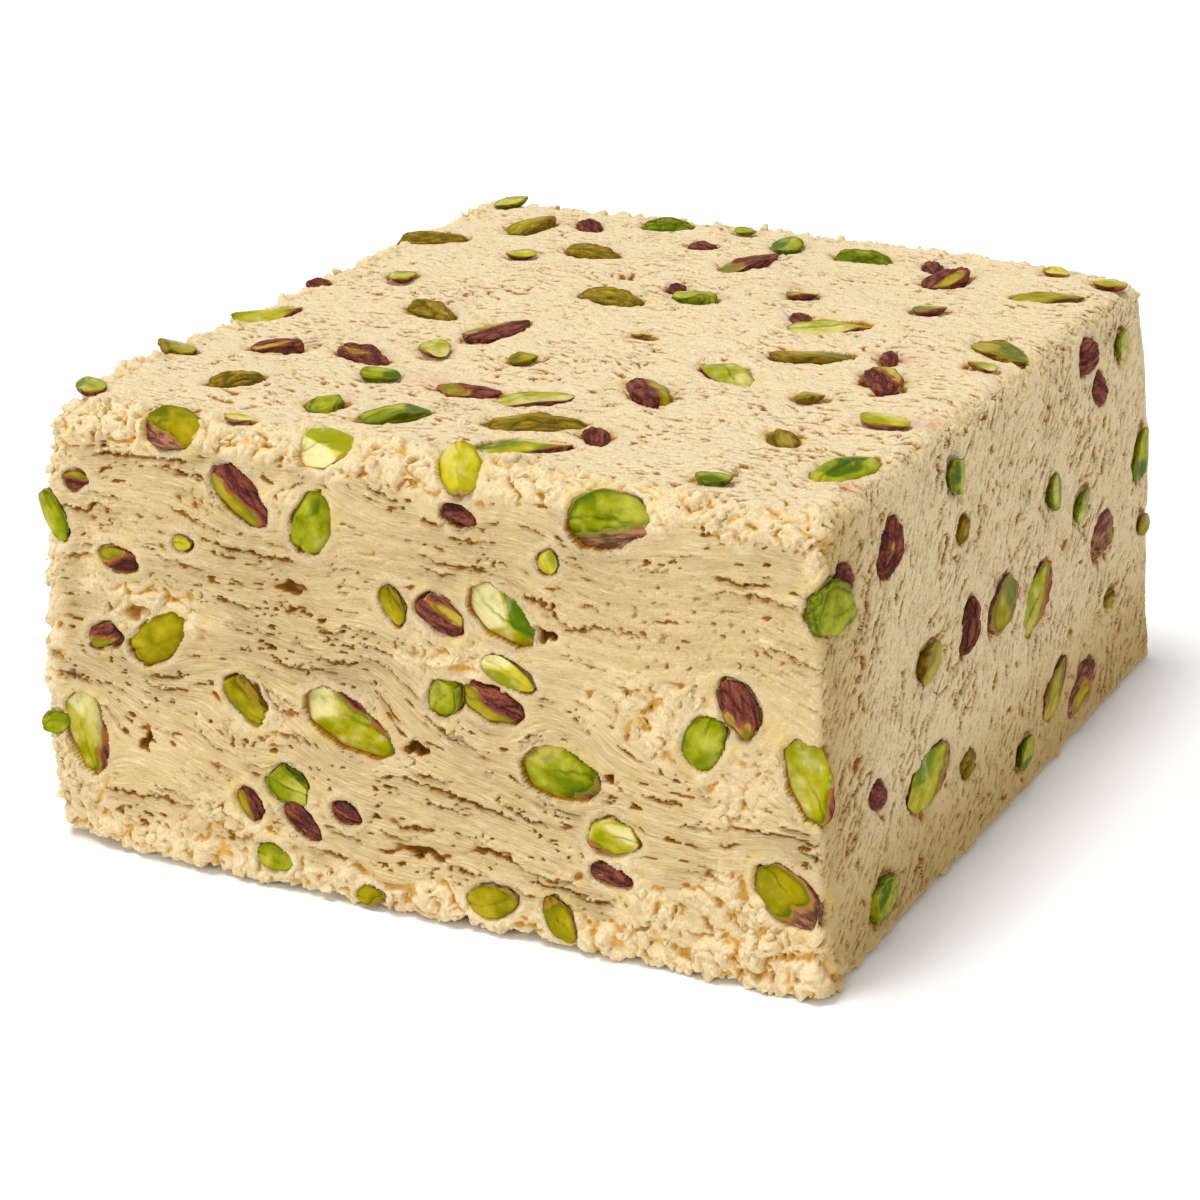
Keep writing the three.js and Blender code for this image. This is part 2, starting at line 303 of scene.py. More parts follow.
RIGHT_CHIPS = (
    (55.5, 67, 8, 5.5, -30, "half", "green"), (59, 57, 5.5, 4, 30, "dome", "olive"),
    (43, 40, 10, 6.5, 5, "half", "olive"), (23, 25, 8, 5, -30, "dome", "purple"),
    (61, 16, 6, 5, 20, "dome", "olive"), (88, 8, 8, 5, 20, "half", "green"),
    (105, 50, 7.5, 6, 0, "half", "green"), (119.5, 43, 9, 5.5, 10, "half", "green"),
    (152, 43, 10, 6.5, 75, "half", "green"), (129.5, 61.5, 9.5, 6, -40, "dome", "purple"),
    (143, 66.5, 9, 5, -10, "half", "green"), (154, 29, 6, 4, 0, "half", "olive"),
    (9, 64.5, 7, 4.5, -30, "dome", "purple"), (136, 20, 6, 3, 5, "dome", "olive"),
)
SHADES = ("bright", "green", "olive", "purple", "pale")
SHADE_SHARES = (0.28, 0.22, 0.2, 0.25, 0.05)  # how many of the scattered kernels have each look
CHIP_SEED = 500  # the first chip's seed
# How many kernels are scattered over each hidden face, and a seed for their places.
HIDDEN = {"back": (40, 5), "left": (42, 6)}
HIDDEN_WHOLE = 0.4  # the share of them that are whole or split
HIDDEN_LENGTHS = ((10, 16), (4, 9))  # from and to which length the whole ones and the chopped ones are
HIDDEN_MARGINS = (6, 7)  # how far from a face's upright and level edges they stay
# How many facets a kernel without its own has, and how far out its skin starts.
FACET_COUNTS = {"bright": 3, "pale": 3, "green": 2, "olive": 2, "purple": 1}
SKIN_EDGES = {"bright": 0.80, "pale": 0.95, "green": 0.85, "olive": 0.5, "purple": -0.25}
SHOWN_CHIPS = {"front": FRONT_CHIPS, "top": TOP_CHIPS, "right": RIGHT_CHIPS}

# Facets cut on the kernels that stand out most: which way each slopes down (along the block's face and up
# it), how far out it starts, its slope in degrees, and its tone from -1, darkest, to 1, palest.
FACETS = {
    "front_01": ((-0.7, -0.5, 0.1, 16, 0.5), (0.9, 0.4, 0.3, 14, -0.5)),
    "front_03": ((-0.3, -0.7, 0.25, 20, -0.3), (0.3, 0.6, 0.0, 9, 0.45)),
    "front_04": ((1, -0.1, 0.2, 20, 0.6),),
    "front_05": ((-0.75, 0.35, -0.25, 11, 1.0), (0.8, 0.5, 0.15, 17, -1.0), (0.1, -1, 0.45, 16, 0.1)),
    "front_07": ((-0.5, -0.85, 0.15, 18, 0.2),),
    "front_08": ((-0.8, 0.5, -0.1, 13, 0.2), (0.7, -0.6, 0.3, 18, -0.5)),
    "front_09": ((0.3, 1, 0.3, 15, -0.35), (-0.8, -0.3, 0.1, 14, 0.35)),
    "front_10": ((0.2, 1, 0.1, 12, 0.1), (0.9, -0.5, 0.35, 18, 0.6), (-0.8, -0.6, 0.2, 15, -0.3)),
    "front_12": ((-0.9, 0.5, 0.35, 16, 0.8), (0.3, 0.5, 0.1, 8, 0.4), (-0.2, -1, 0.15, 14, -0.15)),
    "front_13": ((-0.5, 1, 0.5, 22, 0.85), (0.2, -1, 0.05, 12, -0.25), (-1, 0.1, 0.3, 12, 0.25)),
    "front_14": ((0.9, 0.1, 0.05, 12, 0.6), (-0.8, -0.3, 0.15, 16, 0.1), (-0.3, 0.9, 0.5, 18, 0.9)),
    "front_16": ((0.8, 0.5, 0.2, 18, 0.7),),
    "front_17": ((-0.6, 0.7, 0.0, 12, -0.5), (0.8, -0.6, 0.3, 18, -0.9)),
    "front_02": ((-0.8, 0.3, 0.1, 15, -0.9), (0.9, -0.4, 0.0, 14, 0.1), (0.3, 1, 0.4, 20, -1.0)),
    "brow_01": ((-0.2, 1, -0.1, 28, -1.0), (0.9, -0.5, -0.05, 26, 0.1), (-0.7, -0.7, 0.2, 24, -0.6)),
    "brow_02": ((-0.3, -1, -0.05, 28, 0.8), (0.3, 1, -0.1, 24, -0.8)),
    "brow_03": ((-0.9, 0.1, 0.0, 24, 0.3), (0.9, 0.2, 0.1, 28, -0.5)),
    "right_04": ((-0.7, 0.6, 0.1, 14, -0.5), (-0.4, -1, 0.2, 16, 0.2)),
    "right_05": ((-0.3, 1, 0.35, 16, -0.8), (-0.9, -0.3, 0.2, 14, 0.2)),
    "right_11": ((-0.6, 0.8, 0.0, 14, -0.2), (-0.9, -0.5, 0.25, 18, 0.3)),
    "top_27": ((0.5, 1, -0.2, 12, -1.0), (-1, -0.3, 0.3, 16, -0.5), (0.9, -0.5, 0.2, 15, -0.9)),
}
# Skin that stays on them: which way along and up the face, and how far out it starts.
SKINS = {
    "front_01": (0.7, 0.75, -0.1),
    "front_03": (0.35, -1, 0.3),
    "front_05": (0.9, 0.6, 0.9),
    "front_07": (0.7, 0.7, -0.15),
    "front_09": (0.9, -0.4, 0.75),
    "front_12": (0.62, 0.75, 0.38),
    "front_10": (-0.8, 0.8, 0.95),
    "front_13": (0.8, -0.7, 0.72),
    "front_14": (1, -0.15, 0.45),
    "front_16": (-0.7, -1, 0.95),
    "front_17": (0.8, -0.7, 0.42),
    "brow_01": (-0.5, -1, 0.4),
    "brow_03": (0.55, -1, 1.0),
    "right_04": (1, -0.2, 0.4),
    "right_05": (0.8, -0.6, 0.5),
    "right_07": (1, 0, 0.35),
    "right_11": (0.7, 0.9, 0.8),
    "top_27": (-0.6, 1, 0.9),
}


def unit_ball(level):
    """An evenly faced ball of radius 1: its points, its triangles and each point's six neighbours."""
    shape = bmesh.new()
    bmesh.ops.create_icosphere(shape, subdivisions=level, radius=1)
    points = np.array([vert.co for vert in shape.verts])
    triangles = np.array([[vert.index for vert in side.verts] for side in shape.faces])
    around = []
    for vert in shape.verts:
        others = [edge.other_vert(vert).index for edge in vert.link_edges]
        around.append((others + [vert.index])[:6])
    shape.free()
    return points, triangles, np.array(around)


def smoothed(values, around, rounds):
    for _ in range(rounds):
        values = (values + values[around].mean(1)) / 2
    return values


def flat_along(out, turn):
    """A direction in the plane that looks along out, turned from level by degrees, and the one across it."""
    level = level_on(out)
    angle = math.radians(turn)
    along = level * math.cos(angle) + np.cross(out, level) * math.sin(angle)
    return along, np.cross(out, along)


def direction_of(node):
    """Which way a kernel's node looks out of the block."""
    if "_brow_" in node:
        return np.array([0, -1, 1]) / math.sqrt(2)
    return outward(node.split("_")[1])


def cut_solid(node):
    """A kernel's node as a tree to cast rays at, which of its faces are cuts, its middle and its axes."""
    shape = bmesh.new()
    shape.from_mesh(frame["nodes"][node].data)
    bmesh.ops.remove_doubles(shape, verts=shape.verts, dist=2e-6)
    bmesh.ops.dissolve_limit(shape, angle_limit=math.radians(0.6), verts=shape.verts, edges=shape.edges)
    shape.faces.ensure_lookup_table()
    cuts = np.array([len(side.verts) >= CUT_CORNERS for side in shape.faces])
    corners = np.array([vert.co for vert in shape.verts])
    tree = BVHTree.FromBMesh(shape)
    shape.free()
    middle = (corners.min(0) + corners.max(0)) / 2
    out = direction_of(node)
    flat = corners - middle - np.outer((corners - middle) @ out, out)
    along = np.linalg.svd(flat, full_matrices=False)[2][0]
    return tree, cuts, middle, (along, np.cross(out, along), out)


def cast(tree, cuts, middle, directions):
    """How far a solid reaches from its middle in each direction, and whether it ends in a cut there."""
    start = Vector(middle)
    reach, cut = [], []
    for direction in directions:
        _, _, face, distance = tree.ray_cast(start, Vector(direction))
        reach.append(distance or 0)
        cut.append(face is not None and cuts[face])
    return np.array(reach), np.array(cut, float)


def trimmed(local, normal, reach, soft):
    """Takes away what lies beyond a plane, leaving a slightly rounded rim. Also says what was cut."""
    normal = np.array(normal, float) / np.linalg.norm(normal)
    beyond = local @ normal - reach
    return local - np.outer(np.logaddexp(0, beyond / soft) * soft, normal), smoothstep(-0.1, 0.35, beyond)


def drawn_facets(look, random):
    """Facets for a kernel that has none of its own."""
    facets = []
    for _ in range(FACET_COUNTS[look]):
        angle = random.uniform(0, 2 * math.pi)
        slope = random.uniform(8, 18)
        pale = random.choice((-0.9, -0.5, -0.2, 0.3, 0.5, 0.7))
        facets.append((np.array([math.cos(angle), math.sin(angle)]), random.uniform(-0.1, 0.5), slope, pale))
    return facets


def faceted(local, flesh, look, facets, drop):
    """Cuts facets on a kernel. Also says where its flesh shows, and how dark or pale that is."""
    half = np.abs(local[:, :2]).max(0)
    tone = np.zeros(len(local))
    for direction, start, slope, pale in facets:
        direction = direction / np.linalg.norm(direction)
        reach = 1 / np.linalg.norm(direction / half)
        edge = direction * start * reach
        upper = np.where(local[:, 2] > 0, ((local[:, :2] - edge) ** 2).sum(1), np.inf)
        height = local[upper.argmin(), 2]
        slope = min(math.radians(slope), math.atan(drop / (reach * (1 - start))))
        normal = np.array([*(direction * math.sin(slope)), math.cos(slope)])
        local, cut = trimmed(local, normal, normal @ [*edge, height] - 0.12, 0.06)
        if look != "purple" or pale > -0.3:
            flesh = np.maximum(flesh, cut)
        tone = mixed(tone, pale, cut)
    return local, flesh, tone


def kernel_finish(local, flesh, look, seed, around, facets=None, skin_side=None, drop=FACET_DROP):
    """A kernel's chipped facets, cleft and wrinkles. Local is in millimetres, X along it and Z outwards."""
    random = np.random.default_rng(seed)
    half = np.abs(local).max(0)
    top = local[:, 2].max()
    facets = drawn_facets(look, random) if facets is None else facets
    local, flesh, tone = faceted(local, flesh, look, facets, drop)
    x, y = local[:, 0] / half[0], local[:, 1] / half[1]
    shift = random.uniform(0, 99, 3)
    ragged = noise(local / 1.6 + shift, 3)
    # The skin that stays on one side of a cut kernel.
    side = random.uniform(0, 2 * math.pi)
    *direction, edge = skin_side or (math.cos(side) * 0.7, math.sin(side), SKIN_EDGES[look])
    past = x * direction[0] + y * direction[1] + 0.2 * ragged
    skin = smoothstep(edge - 0.05, edge + 0.05, past)
    flesh = np.clip(flesh * (1 - skin), 0, 1)
    # The cleft between the two halves of the kernel, and the folds of the skin.
    bend = 0.22 * np.sin(2.0 * x + shift[0]) + 0.08 * ragged
    reach = random.uniform(-0.4, 0.9)
    cleft = np.exp(-(((y - bend) / (0.05 + 0.04 * ragged**2)) ** 2)) * smoothstep(reach + 0.2, reach - 0.5, x)
    outer = smoothstep(0.2 * half[2], 0.7 * half[2], local[:, 2] + half[2] - top + 0.1)
    creases = np.abs(noise(local * (0.16, 0.62, 0.62) + shift, 5))
    folds = 0.16 * noise(local * (0.5, 1.3, 1.3) + shift, 6)
    folds += 0.09 * noise(local * (1.2, 2.8, 2.8) + shift, 8)
    folds += 0.24 - 0.385 * smoothstep(0.5, 0, creases)
    mild = 0.2 * noise(local / 3.2 + shift, 7) + 0.03 * noise(local * (0.5, 1.6, 1.6) + shift, 9)
    mild -= 0.45 * cleft * random.uniform(0.2, 1)
    length = np.linalg.norm(local, axis=1, keepdims=True)
    relief = mixed(folds, mild, flesh) * outer
    local = local + local / np.maximum(length, 0.1) * relief[:, None]
    core = smoothed(flesh, around, 14)
    # Where painted shade darkens the skin's creases.
    crease_shade = smoothstep(0.3, 0, creases)
    return local, {"flesh": flesh, "core": core, "tone": tone, "cleft": cleft * flesh, "crease_shade": crease_shade}


def new_object(name, data):
    """A new object in the scene."""
    made = bpy.data.objects.new(name, data)
    bpy.context.scene.collection.objects.link(made)
    return made


def write_mesh(name, points, faces, marks, material):
    """A smooth mesh object from points in millimetres, in place, with a value for each point."""
    mesh = bpy.data.meshes.new(name)
    mesh.from_pydata((np.asarray(points) * MM).tolist(), [], [list(map(int, face)) for face in faces])
    for key, values in marks.items():
        values = np.asarray(values, np.float32)
        kind = "FLOAT" if values.ndim == 1 else "FLOAT_VECTOR"
        layer = mesh.attributes.new(key, kind, "POINT")
        layer.data.foreach_set("value" if values.ndim == 1 else "vector", values.ravel())
    mesh.polygons.foreach_set("use_smooth", [True] * len(mesh.polygons))
    mesh.materials.append(material)
    mesh.update()
    return new_object(name, mesh)


def finished(piece, slot, *nodes):
    """Puts a finished piece in the frame."""
    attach(piece, "root")
    if nodes:
        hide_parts(*nodes)


def node_kernel(node, look, seed, ball):
    """The piece that stands for one kernel's node."""
    points, triangles, around = ball
    tree, cuts, middle, axes = cut_solid(node)
    basis = np.array(axes)
    corners = np.array([vert.co for vert in frame["nodes"][node].data.vertices])
    half = np.abs((corners - middle) @ basis.T).max(0)
    directions = points * half
    directions /= np.linalg.norm(directions, axis=1, keepdims=True)
    reach, cut = cast(tree, cuts, middle, directions @ basis)
    local = directions * reach[:, None] / MM
    size = np.ptp(local, axis=0)
    local = smoothed(local, around, 3)
    local *= size / np.ptp(local, axis=0)
    flesh = smoothed(cut, around, 2)
    # From along and up the block's face to along and across the kernel.
    out = axes[2]
    level = level_on(out)
    sides = basis @ np.array([level, np.cross(out, level), out]).T
    key = node.removeprefix("pistachio_")
    facets, skin_side = None, None
    if key in FACETS:
        facets = [((sides @ np.array([*row[:2], 0]))[:2], *row[2:]) for row in FACETS[key]]
    if key in SKINS:
        skin_side = (*(sides @ np.array([*SKINS[key][:2], 0]))[:2], SKINS[key][2])
    if key in PEELED:
        flesh[:] = 1
    drop = BROW_DROP if key.startswith("brow") else FACET_DROP
    local, marks = kernel_finish(local, flesh, look, seed, around, facets, skin_side, drop)
    marks["grain"] = local + seed * KERNEL_SHIFT
    marks["rosy"] = np.full(len(local), float(key in ROSY))
    local[:, 2] += RAISED.get(key.split("_")[0], 0)
    material = bpy.data.materials["kernel_" + look]
    places = middle / MM + local @ basis
    piece = write_mesh(node.replace("pistachio", "kernel"), places, triangles, marks, material)
    finished(piece, look, node)


def loose_kernel(face, row, seed, ball):
    """A kernel or chip that has no node: its points, and what marks them."""
    u, v, length, width, turn, cut, look = row
    points, _, around = ball
    half = np.array([length, width, width * THICKNESS]) / 2
    slim = 1 - TAPER * points[:, :1]
    local = points * half * np.hstack([np.ones_like(slim), slim, slim])
    flesh = np.zeros(len(local))
    for x, y, z, share in CUTS[cut]:
        normal = np.array([x, y, z]) / math.sqrt(x * x + y * y + z * z) / half
        local, gone = trimmed(local, normal, share / np.linalg.norm(normal), 0.15)
        flesh = np.maximum(flesh, gone)
    local, marks = kernel_finish(local, flesh, look, seed, around)
    out = outward(face)
    along, across = flat_along(out, turn)
    proud = PROUD + PROUD_SHARE * width + RAISED.get(face, 0)
    middle = place_on(face, u, v) + out * (proud - local[:, 2].max())
    marks["grain"] = local + seed * CHIP_SHIFT
    return middle + local @ np.array([along, across, out]), marks


def joined(name, look, kernels, ball):
    """One piece of many loose kernels of one look."""
    points, triangles, _ = ball
    places = np.concatenate([points for points, _ in kernels])
    faces = np.concatenate([triangles + len(points) * index for index in range(len(kernels))])
    marks = {key: np.concatenate([marks[key] for _, marks in kernels]) for key in kernels[0][1]}
    piece = write_mesh(name, places, faces, marks, bpy.data.materials["kernel_" + look])
    finished(piece, look)


def scattered_rows(face, count, seed):
    """Kernels strewn over a hidden face, none too near another."""
    random = np.random.default_rng(seed)
    first, second, _, _ = FACES[face]
    size = [span(axis)[1] - span(axis)[0] for axis in (first, second)]
    rows = []
    while len(rows) < count:
        u, v = (random.uniform(margin, whole - margin) for margin, whole in zip(HIDDEN_MARGINS, size))
        length = random.uniform(*HIDDEN_LENGTHS[len(rows) >= count * HIDDEN_WHOLE])
        if any(math.hypot(u - row[0], v - row[1]) < (length + row[2]) / 2 + 1 for row in rows):
            continue
        width = length * random.uniform(0.42, 0.6)
        look = random.choice(SHADES, p=SHADE_SHARES)
        cut = "dome" if look == "purple" else random.choice(("half", "half", "stub", "dome", "chunk"))
        rows.append((u, v, length, width, random.uniform(-90, 90), str(cut), str(look)))
    return rows


# --- The relief of the halva ---

# Edges between two faces, how badly each crumbles, and how far in from the edge.
EDGES = (
    ("front", "top", 1.0, 7.5), ("front", "foot", 1.0, 10.0), ("front", "left", 0.9, 8.0),
    ("right", "top", 0.36, 4.5), ("right", "foot", 0.34, 4.5), ("left", "top", 0.9, 7.0),
    ("left", "foot", 0.9, 9.0), ("back", "top", 0.7, 6.0), ("back", "foot", 0.8, 8.0),
    ("back", "right", 0.3, 4.0), ("back", "left", 0.7, 7.0),
)
# Crumbly patches on the front: middle along and up, how far they reach each way, and how strong.
PATCHES = (
    (22, 44, 13, 5, 0.7), (12, 50, 8, 10, 0.5), (78, 45, 12, 5, 0.7), (114, 41, 12, 7, 0.8),
    (130, 10, 12, 10, 1.0), (112, 10, 10, 6, 0.7), (41, 29, 8, 5, 0.6), (104, 16, 8, 5, 0.6),
    (6, 10, 9, 10, 0.7), (125, 33, 9, 9, 0.6), (36, 10, 10, 5, 0.6), (48, 66, 12, 5, 0.4),
)
# Open hollows in the front, most of them at the end of a kernel: along, up, reach each way, and depth.
HOLLOWS = (
    (93.0, 51.0, 2.2, 1.0, 3.6), (102.6, 29.8, 2.0, 1.1, 3.6), (19, 42.8, 3.2, 1.1, 3.4),
    (20.5, 21, 1.0, 2.2, 1.8), (72, 11.5, 5.0, 0.8, 1.6), (84, 14, 4.0, 0.6, 1.4),
    (70.6, 28.8, 2.0, 0.9, 3.0), (48, 51.5, 3.0, 0.9, 1.6),
)
# Where the top is tinged by the skins of kernels, as the patches above but from the front edge.
BLUSHES = (
    (118, 84, 4.0, 3.0, 0.9), (136, 53, 3.0, 4.0, 0.8), (137, 17, 4.0, 3.0, 0.8), (52, 38, 5.0, 4.0, 0.6),
    (84, 119, 5.0, 3.0, 0.5),
)
# Calmer parts of the front, where the halva is hardly drawn out: as the patches above.
CALM = ((117, 54, 26, 12, 1.1), (22, 58, 15, 8, 0.8), (60, 59, 16, 8, 0.8), (32, 15, 13, 6, 0.8))
# Torn lips of the pulled halva, coarse to fine: how far apart they are, how high, how wide the gap under
# each is, how long they run, how seldom they tear, and a seed.
LIPS = ((9.0, 1.2, 0.6, 19, 0.12, 43), (4.6, 0.85, 0.45, 10, 0.27, 53), (2.6, 0.55, 0.4, 5, 0.34, 57))
# Lumps of the crumbly halva: how wide they are, how high, and a seed.
LUMPS = ((5.8, 1.7, 74), (2.8, 1.0, 78), (1.3, 0.2, 86))
SLANT = math.radians(50)  # which way the right face's grain rises
LEFT_SHIFT = 300  # takes the left face's strands from elsewhere than the front's
PROBE_START, PROBE_LENGTH = 5, 8  # how far out the search for a kernel starts, and how far in it goes
KERNEL_REACH = 3.0  # how far round a kernel the halva is shaped by it
STONE_SHARE = 0.42  # how wide a kernel is to the strands, of its length and width
PIT_WINDOW, HOLLOW_WINDOW = 6, 20  # over how many cells the surface is evened out to find each


def away_from(u, v, patch):
    """How far each place is from a patch's middle, in its reaches, squared."""
    middle_u, middle_v, reach_u, reach_v, _ = patch
    return ((u - middle_u) / reach_u) ** 2 + ((v - middle_v) / reach_v) ** 2


def hollows(box):
    """How deep the front's hollows are at each point of the plain box."""
    u, v = box[:, 0] + HALF_X, box[:, 2]
    u, v = u + 1.1 * noise(box / 2.1, 23) + 0.4 * noise(box / 0.8, 25), v + 0.9 * noise(box / 2.1, 24)
    found = np.zeros(len(box))
    for hollow in HOLLOWS:
        found = np.maximum(found, 0.7 * hollow[-1] * np.exp(-(away_from(u, v, hollow) ** 2)))
    return found


def edge_crumble(box):
    """How crumbly the halva is at each point of the plain box, from the edges near it."""
    away = {
        "front": box[:, 1] + HALF_Y, "back": HALF_Y - box[:, 1], "left": box[:, 0] + HALF_X,
        "right": HALF_X - box[:, 0], "top": HEIGHT - box[:, 2], "foot": box[:, 2],
    }
    ragged = 1 + 0.5 * noise(box / 9, 21)
    found = np.zeros(len(box))
    for first, second, strength, reach in EDGES:
        near = [smoothstep(reach * ragged, 0.2 * reach, away[face]) for face in (first, second)]
        found = np.maximum(found, strength * near[0] * near[1])
    upright = smoothstep(5, 1, away["front"]) * smoothstep(5, 1, away["right"])
    ends = 0.22 + 0.75 * smoothstep(18, 8, box[:, 2]) + 0.6 * smoothstep(60, 70, box[:, 2])
    return np.clip(np.maximum(found, upright * ends), 0, 1)


def in_patches(box, patches, axis=2):
    """How strongly each point lies in one of some patches, measured from the left and along another axis."""
    u, v = box[:, 0] + HALF_X, box[:, axis] - span(axis)[0]
    found = np.zeros(len(box))
    for patch in patches:
        found = np.maximum(found, patch[-1] * np.exp(-away_from(u, v, patch)))
    return found


def drawn(first, second, seed, layer=0.0):
    """Noise over two coordinates."""
    return noise(np.stack([first, second, np.full_like(first, layer)], 1), seed)


def flow_past(along, up, stones):
    """Coordinates along and across pulled strands that part round each stone: (along, up, radius)."""
    across = up + 8 * np.sin(along / 46) * np.exp(-(((up - 28) / 19) ** 2)) + 0.04 * along
    across = across + 1.8 * drawn(along / 24, up / 15, 31)
    down = along.copy()
    for stone_along, stone_up, radius in stones:
        x, y = along - stone_along, up - stone_up
        square = np.maximum(x * x + y * y, (0.7 * radius) ** 2)
        across = across - radius * radius * y / square
        down = down + radius * radius * x / square
    return down, across


def strands(down, across, points, calm):
    """Relief of pulled halva: long torn lips over narrow gaps, with drawn strands between them."""
    ragged = 0.8 * noise(points / 6.0, 41) + 0.5 * noise(points / 2.1, 42) + 0.3 * noise(points / 0.85, 40)
    found = np.zeros_like(down)
    for period, height, gap, length, sparse, seed in LIPS:
        level = (across + ragged * min(1, period / 5)) / period + seed * 0.37
        share = level - np.floor(level)
        torn = drawn(down / length, level * 0.9, seed)
        torn = smoothstep(sparse, sparse + 0.22, torn + 0.5 * noise(points / 16, seed + 2))
        wide = gap * (2.2 + 1.9 * drawn(down / 5, level * 2, seed + 1)) / period
        under = np.clip((share - 1) / np.maximum(wide, 0.1) + 1, 0, 1) ** 2
        found += torn * height * ((1 - share) ** 3 * 0.6 - 1.2 * under) * (1 - 0.75 * calm)
    rows = smoothstep(0.1, 0.5, drawn(down / 11, across / 2.4, 62))
    found -= 0.75 * smoothstep(0.44, 0.57, drawn(down / 2.4, across / 0.7, 61)) * rows * (1 - 0.85 * calm)
    found += 0.20 * drawn(down / 11, across / 1.5, 63)
    found += 0.09 * drawn(down / 3.5, across / 0.6, 64)
    found -= 0.32 * smoothstep(0.46, 0.62, drawn(down / 1.5, across / 0.9, 68)) * calm
    dotted = smoothstep(0.18, 0.5, drawn(down / 8, across / 4, 67)) * (1 - 0.7 * calm)
    found -= 0.6 * smoothstep(0.42, 0.55, drawn(down / 1.1, across / 0.55, 66)) * dotted
    return found + 0.35 * noise(points / 9, 65)


def pressed(first, second, points, tear, pits, seed):
    """Relief of pressed or sliced halva: flat sheets with ragged rims, short pits and slight unevenness."""
    level = 1.2 * drawn(first / 36, second / 19, seed, seed)
    level += 0.13 * drawn(first / 4.5, second / 3.0, seed + 1, seed)
    level += 0.045 * noise(points / 1.2, seed + 2)
    step = level * 2.2 - np.floor(level * 2.2)
    torn = smoothstep(-0.2, 0.2, noise(points / 17, seed + 3))
    busy = smoothstep(0.0, 0.45, noise(points / 11, seed + 5))
    found = tear * torn * (0.28 * (1 - step) ** 2 - smoothstep(0.86, 1, step) ** 2)
    # Pits: length, width, what is added to the seed, where they start and are deepest, how deep, and where.
    for length, width, kind, low, high, depth, share in (
        (1.9, 0.8, 4, 0.48, 0.58, 0.95, mixed(pits, 1, busy)),
        (6.5, 0.9, 6, 0.55, 0.66, 1.1, 0.25 + 0.75 * torn),
        (2.6, 0.65, 9, 0.50, 0.59, 0.85, mixed(0.4, 1, busy)),
    ):
        holes = drawn(first / length, second / width, seed + kind, seed)
        found -= depth * smoothstep(low, high, holes) * share
    found += 0.06 * drawn(first / 3.0, second / 1.8, seed + 8, seed)
    return found + 0.26 * noise(points / 8, seed + 7)


def crumbled(points):
    """Relief of crumbly halva: rounded lumps of three sizes that run together, with creases between them."""
    warped = points + 1.3 * np.stack([noise(points / 3.4, seed) for seed in (71, 72, 73)], 1)
    warped += 0.25 * np.stack([noise(points / 1.0, seed) for seed in (83, 84, 85)], 1)
    found = -2.0 + 0.04 * noise(points / 0.8, 82)
    found -= 0.8 * smoothstep(0.46, 0.62, noise(warped / 1.5, 87))
    for size, height, seed in LUMPS:
        ball, inside, lift, tilt = chunks(warped / size, seed)
        found += height * (0.65 * ball + (0.15 + 0.85 * inside) * (0.15 + 0.5 * lift) + 0.35 * inside * tilt)
    return found


def kernel_tree():
    """All kernels and chips as one tree, in millimetres."""
    places, faces, start = [], [], 0
    for piece in bpy.context.scene.objects:
        if piece.name.startswith("kernel"):
            mesh = piece.data
            flat = np.empty(len(mesh.vertices) * 3)
            mesh.vertices.foreach_get("co", flat)
            corners = np.empty(len(mesh.loops), int)
            mesh.loops.foreach_get("vertex_index", corners)
            places.append(flat.reshape(-1, 3) / MM)
            faces.append(corners.reshape(-1, 3) + start)
            start += len(mesh.vertices)
    return BVHTree.FromPolygons(np.concatenate(places).tolist(), np.concatenate(faces).tolist())


def kernel_heights(tree, points, out):
    """How far each point is from the nearest kernel, how far a kernel stands out there, and how it faces."""
    away = np.full(len(points), KERNEL_REACH)
    height = np.full(len(points), -9.0)
    facing = np.zeros(len(points))
    for index, (point, direction) in enumerate(zip(points.tolist(), out.tolist())):
        place, _, _, distance = tree.find_nearest(point, KERNEL_REACH)
        if place is not None:
            away[index] = distance
            direction = Vector(direction)
            start = Vector(point) + direction * PROBE_START
            _, normal, _, far = tree.ray_cast(start, -direction, PROBE_LENGTH)
            if far is not None:
                height[index] = PROBE_START - far
                facing[index] = normal.dot(direction)
    return away, height, facing


def around_kernels(points, away, height, facing, relief, lips):
    """Sinks the halva under the kernels, with smooth lips and narrow cracks at their outlines, or a dip."""
    film = smoothstep(0.0, 0.4, noise(points / 3.2, 91))
    crack = smoothstep(-0.2, 0.4, noise(points / 3.6, 92))
    relief = relief * mixed(0.35, 1, smoothstep(0.4, 2.6, away))
    lip = smoothstep(2.4, 1.0, away) * smoothstep(0.2, 0.8, away) * (0.28 + 0.4 * noise(points / 2.6, 93))
    dip = smoothstep(2.0, 0.3, away + 0.5 * noise(points / 1.5, 95)) * (0.5 + 0.5 * noise(points / 4, 93))
    relief += mixed(-dip, lip, lips)
    relief -= smoothstep(0.8, 0.1, away) * (1 - film) * (0.15 + 0.9 * crack) * mixed(0.6, 1, lips)
    shown = smoothstep(0.55, 0.8, facing) * smoothstep(-1.9, -1.3, height)
    shown = np.maximum(shown, smoothstep(-1.2, -0.2, height))
    shown = shown * (1 - lips * smoothstep(0.0, 0.3, noise(points / 2.4, 97)) * smoothstep(0.8, 0.5, facing))
    return relief - shown * np.maximum(0, relief - height + 0.9)


def blurred(values, shape, reach):
    """Values on a grid, averaged over a square of that many cells each way."""
    grid = np.pad(values.reshape(shape), reach, mode="edge")
    width = 2 * reach + 1
    for axis in (0, 1):
        total = np.insert(np.cumsum(grid, axis=axis), 0, 0, axis=axis)
        count = grid.shape[axis] + 1
        upper, lower = range(width, count), range(count - width)
        grid = (np.take(total, upper, axis=axis) - np.take(total, lower, axis=axis)) / width
    return grid.ravel()


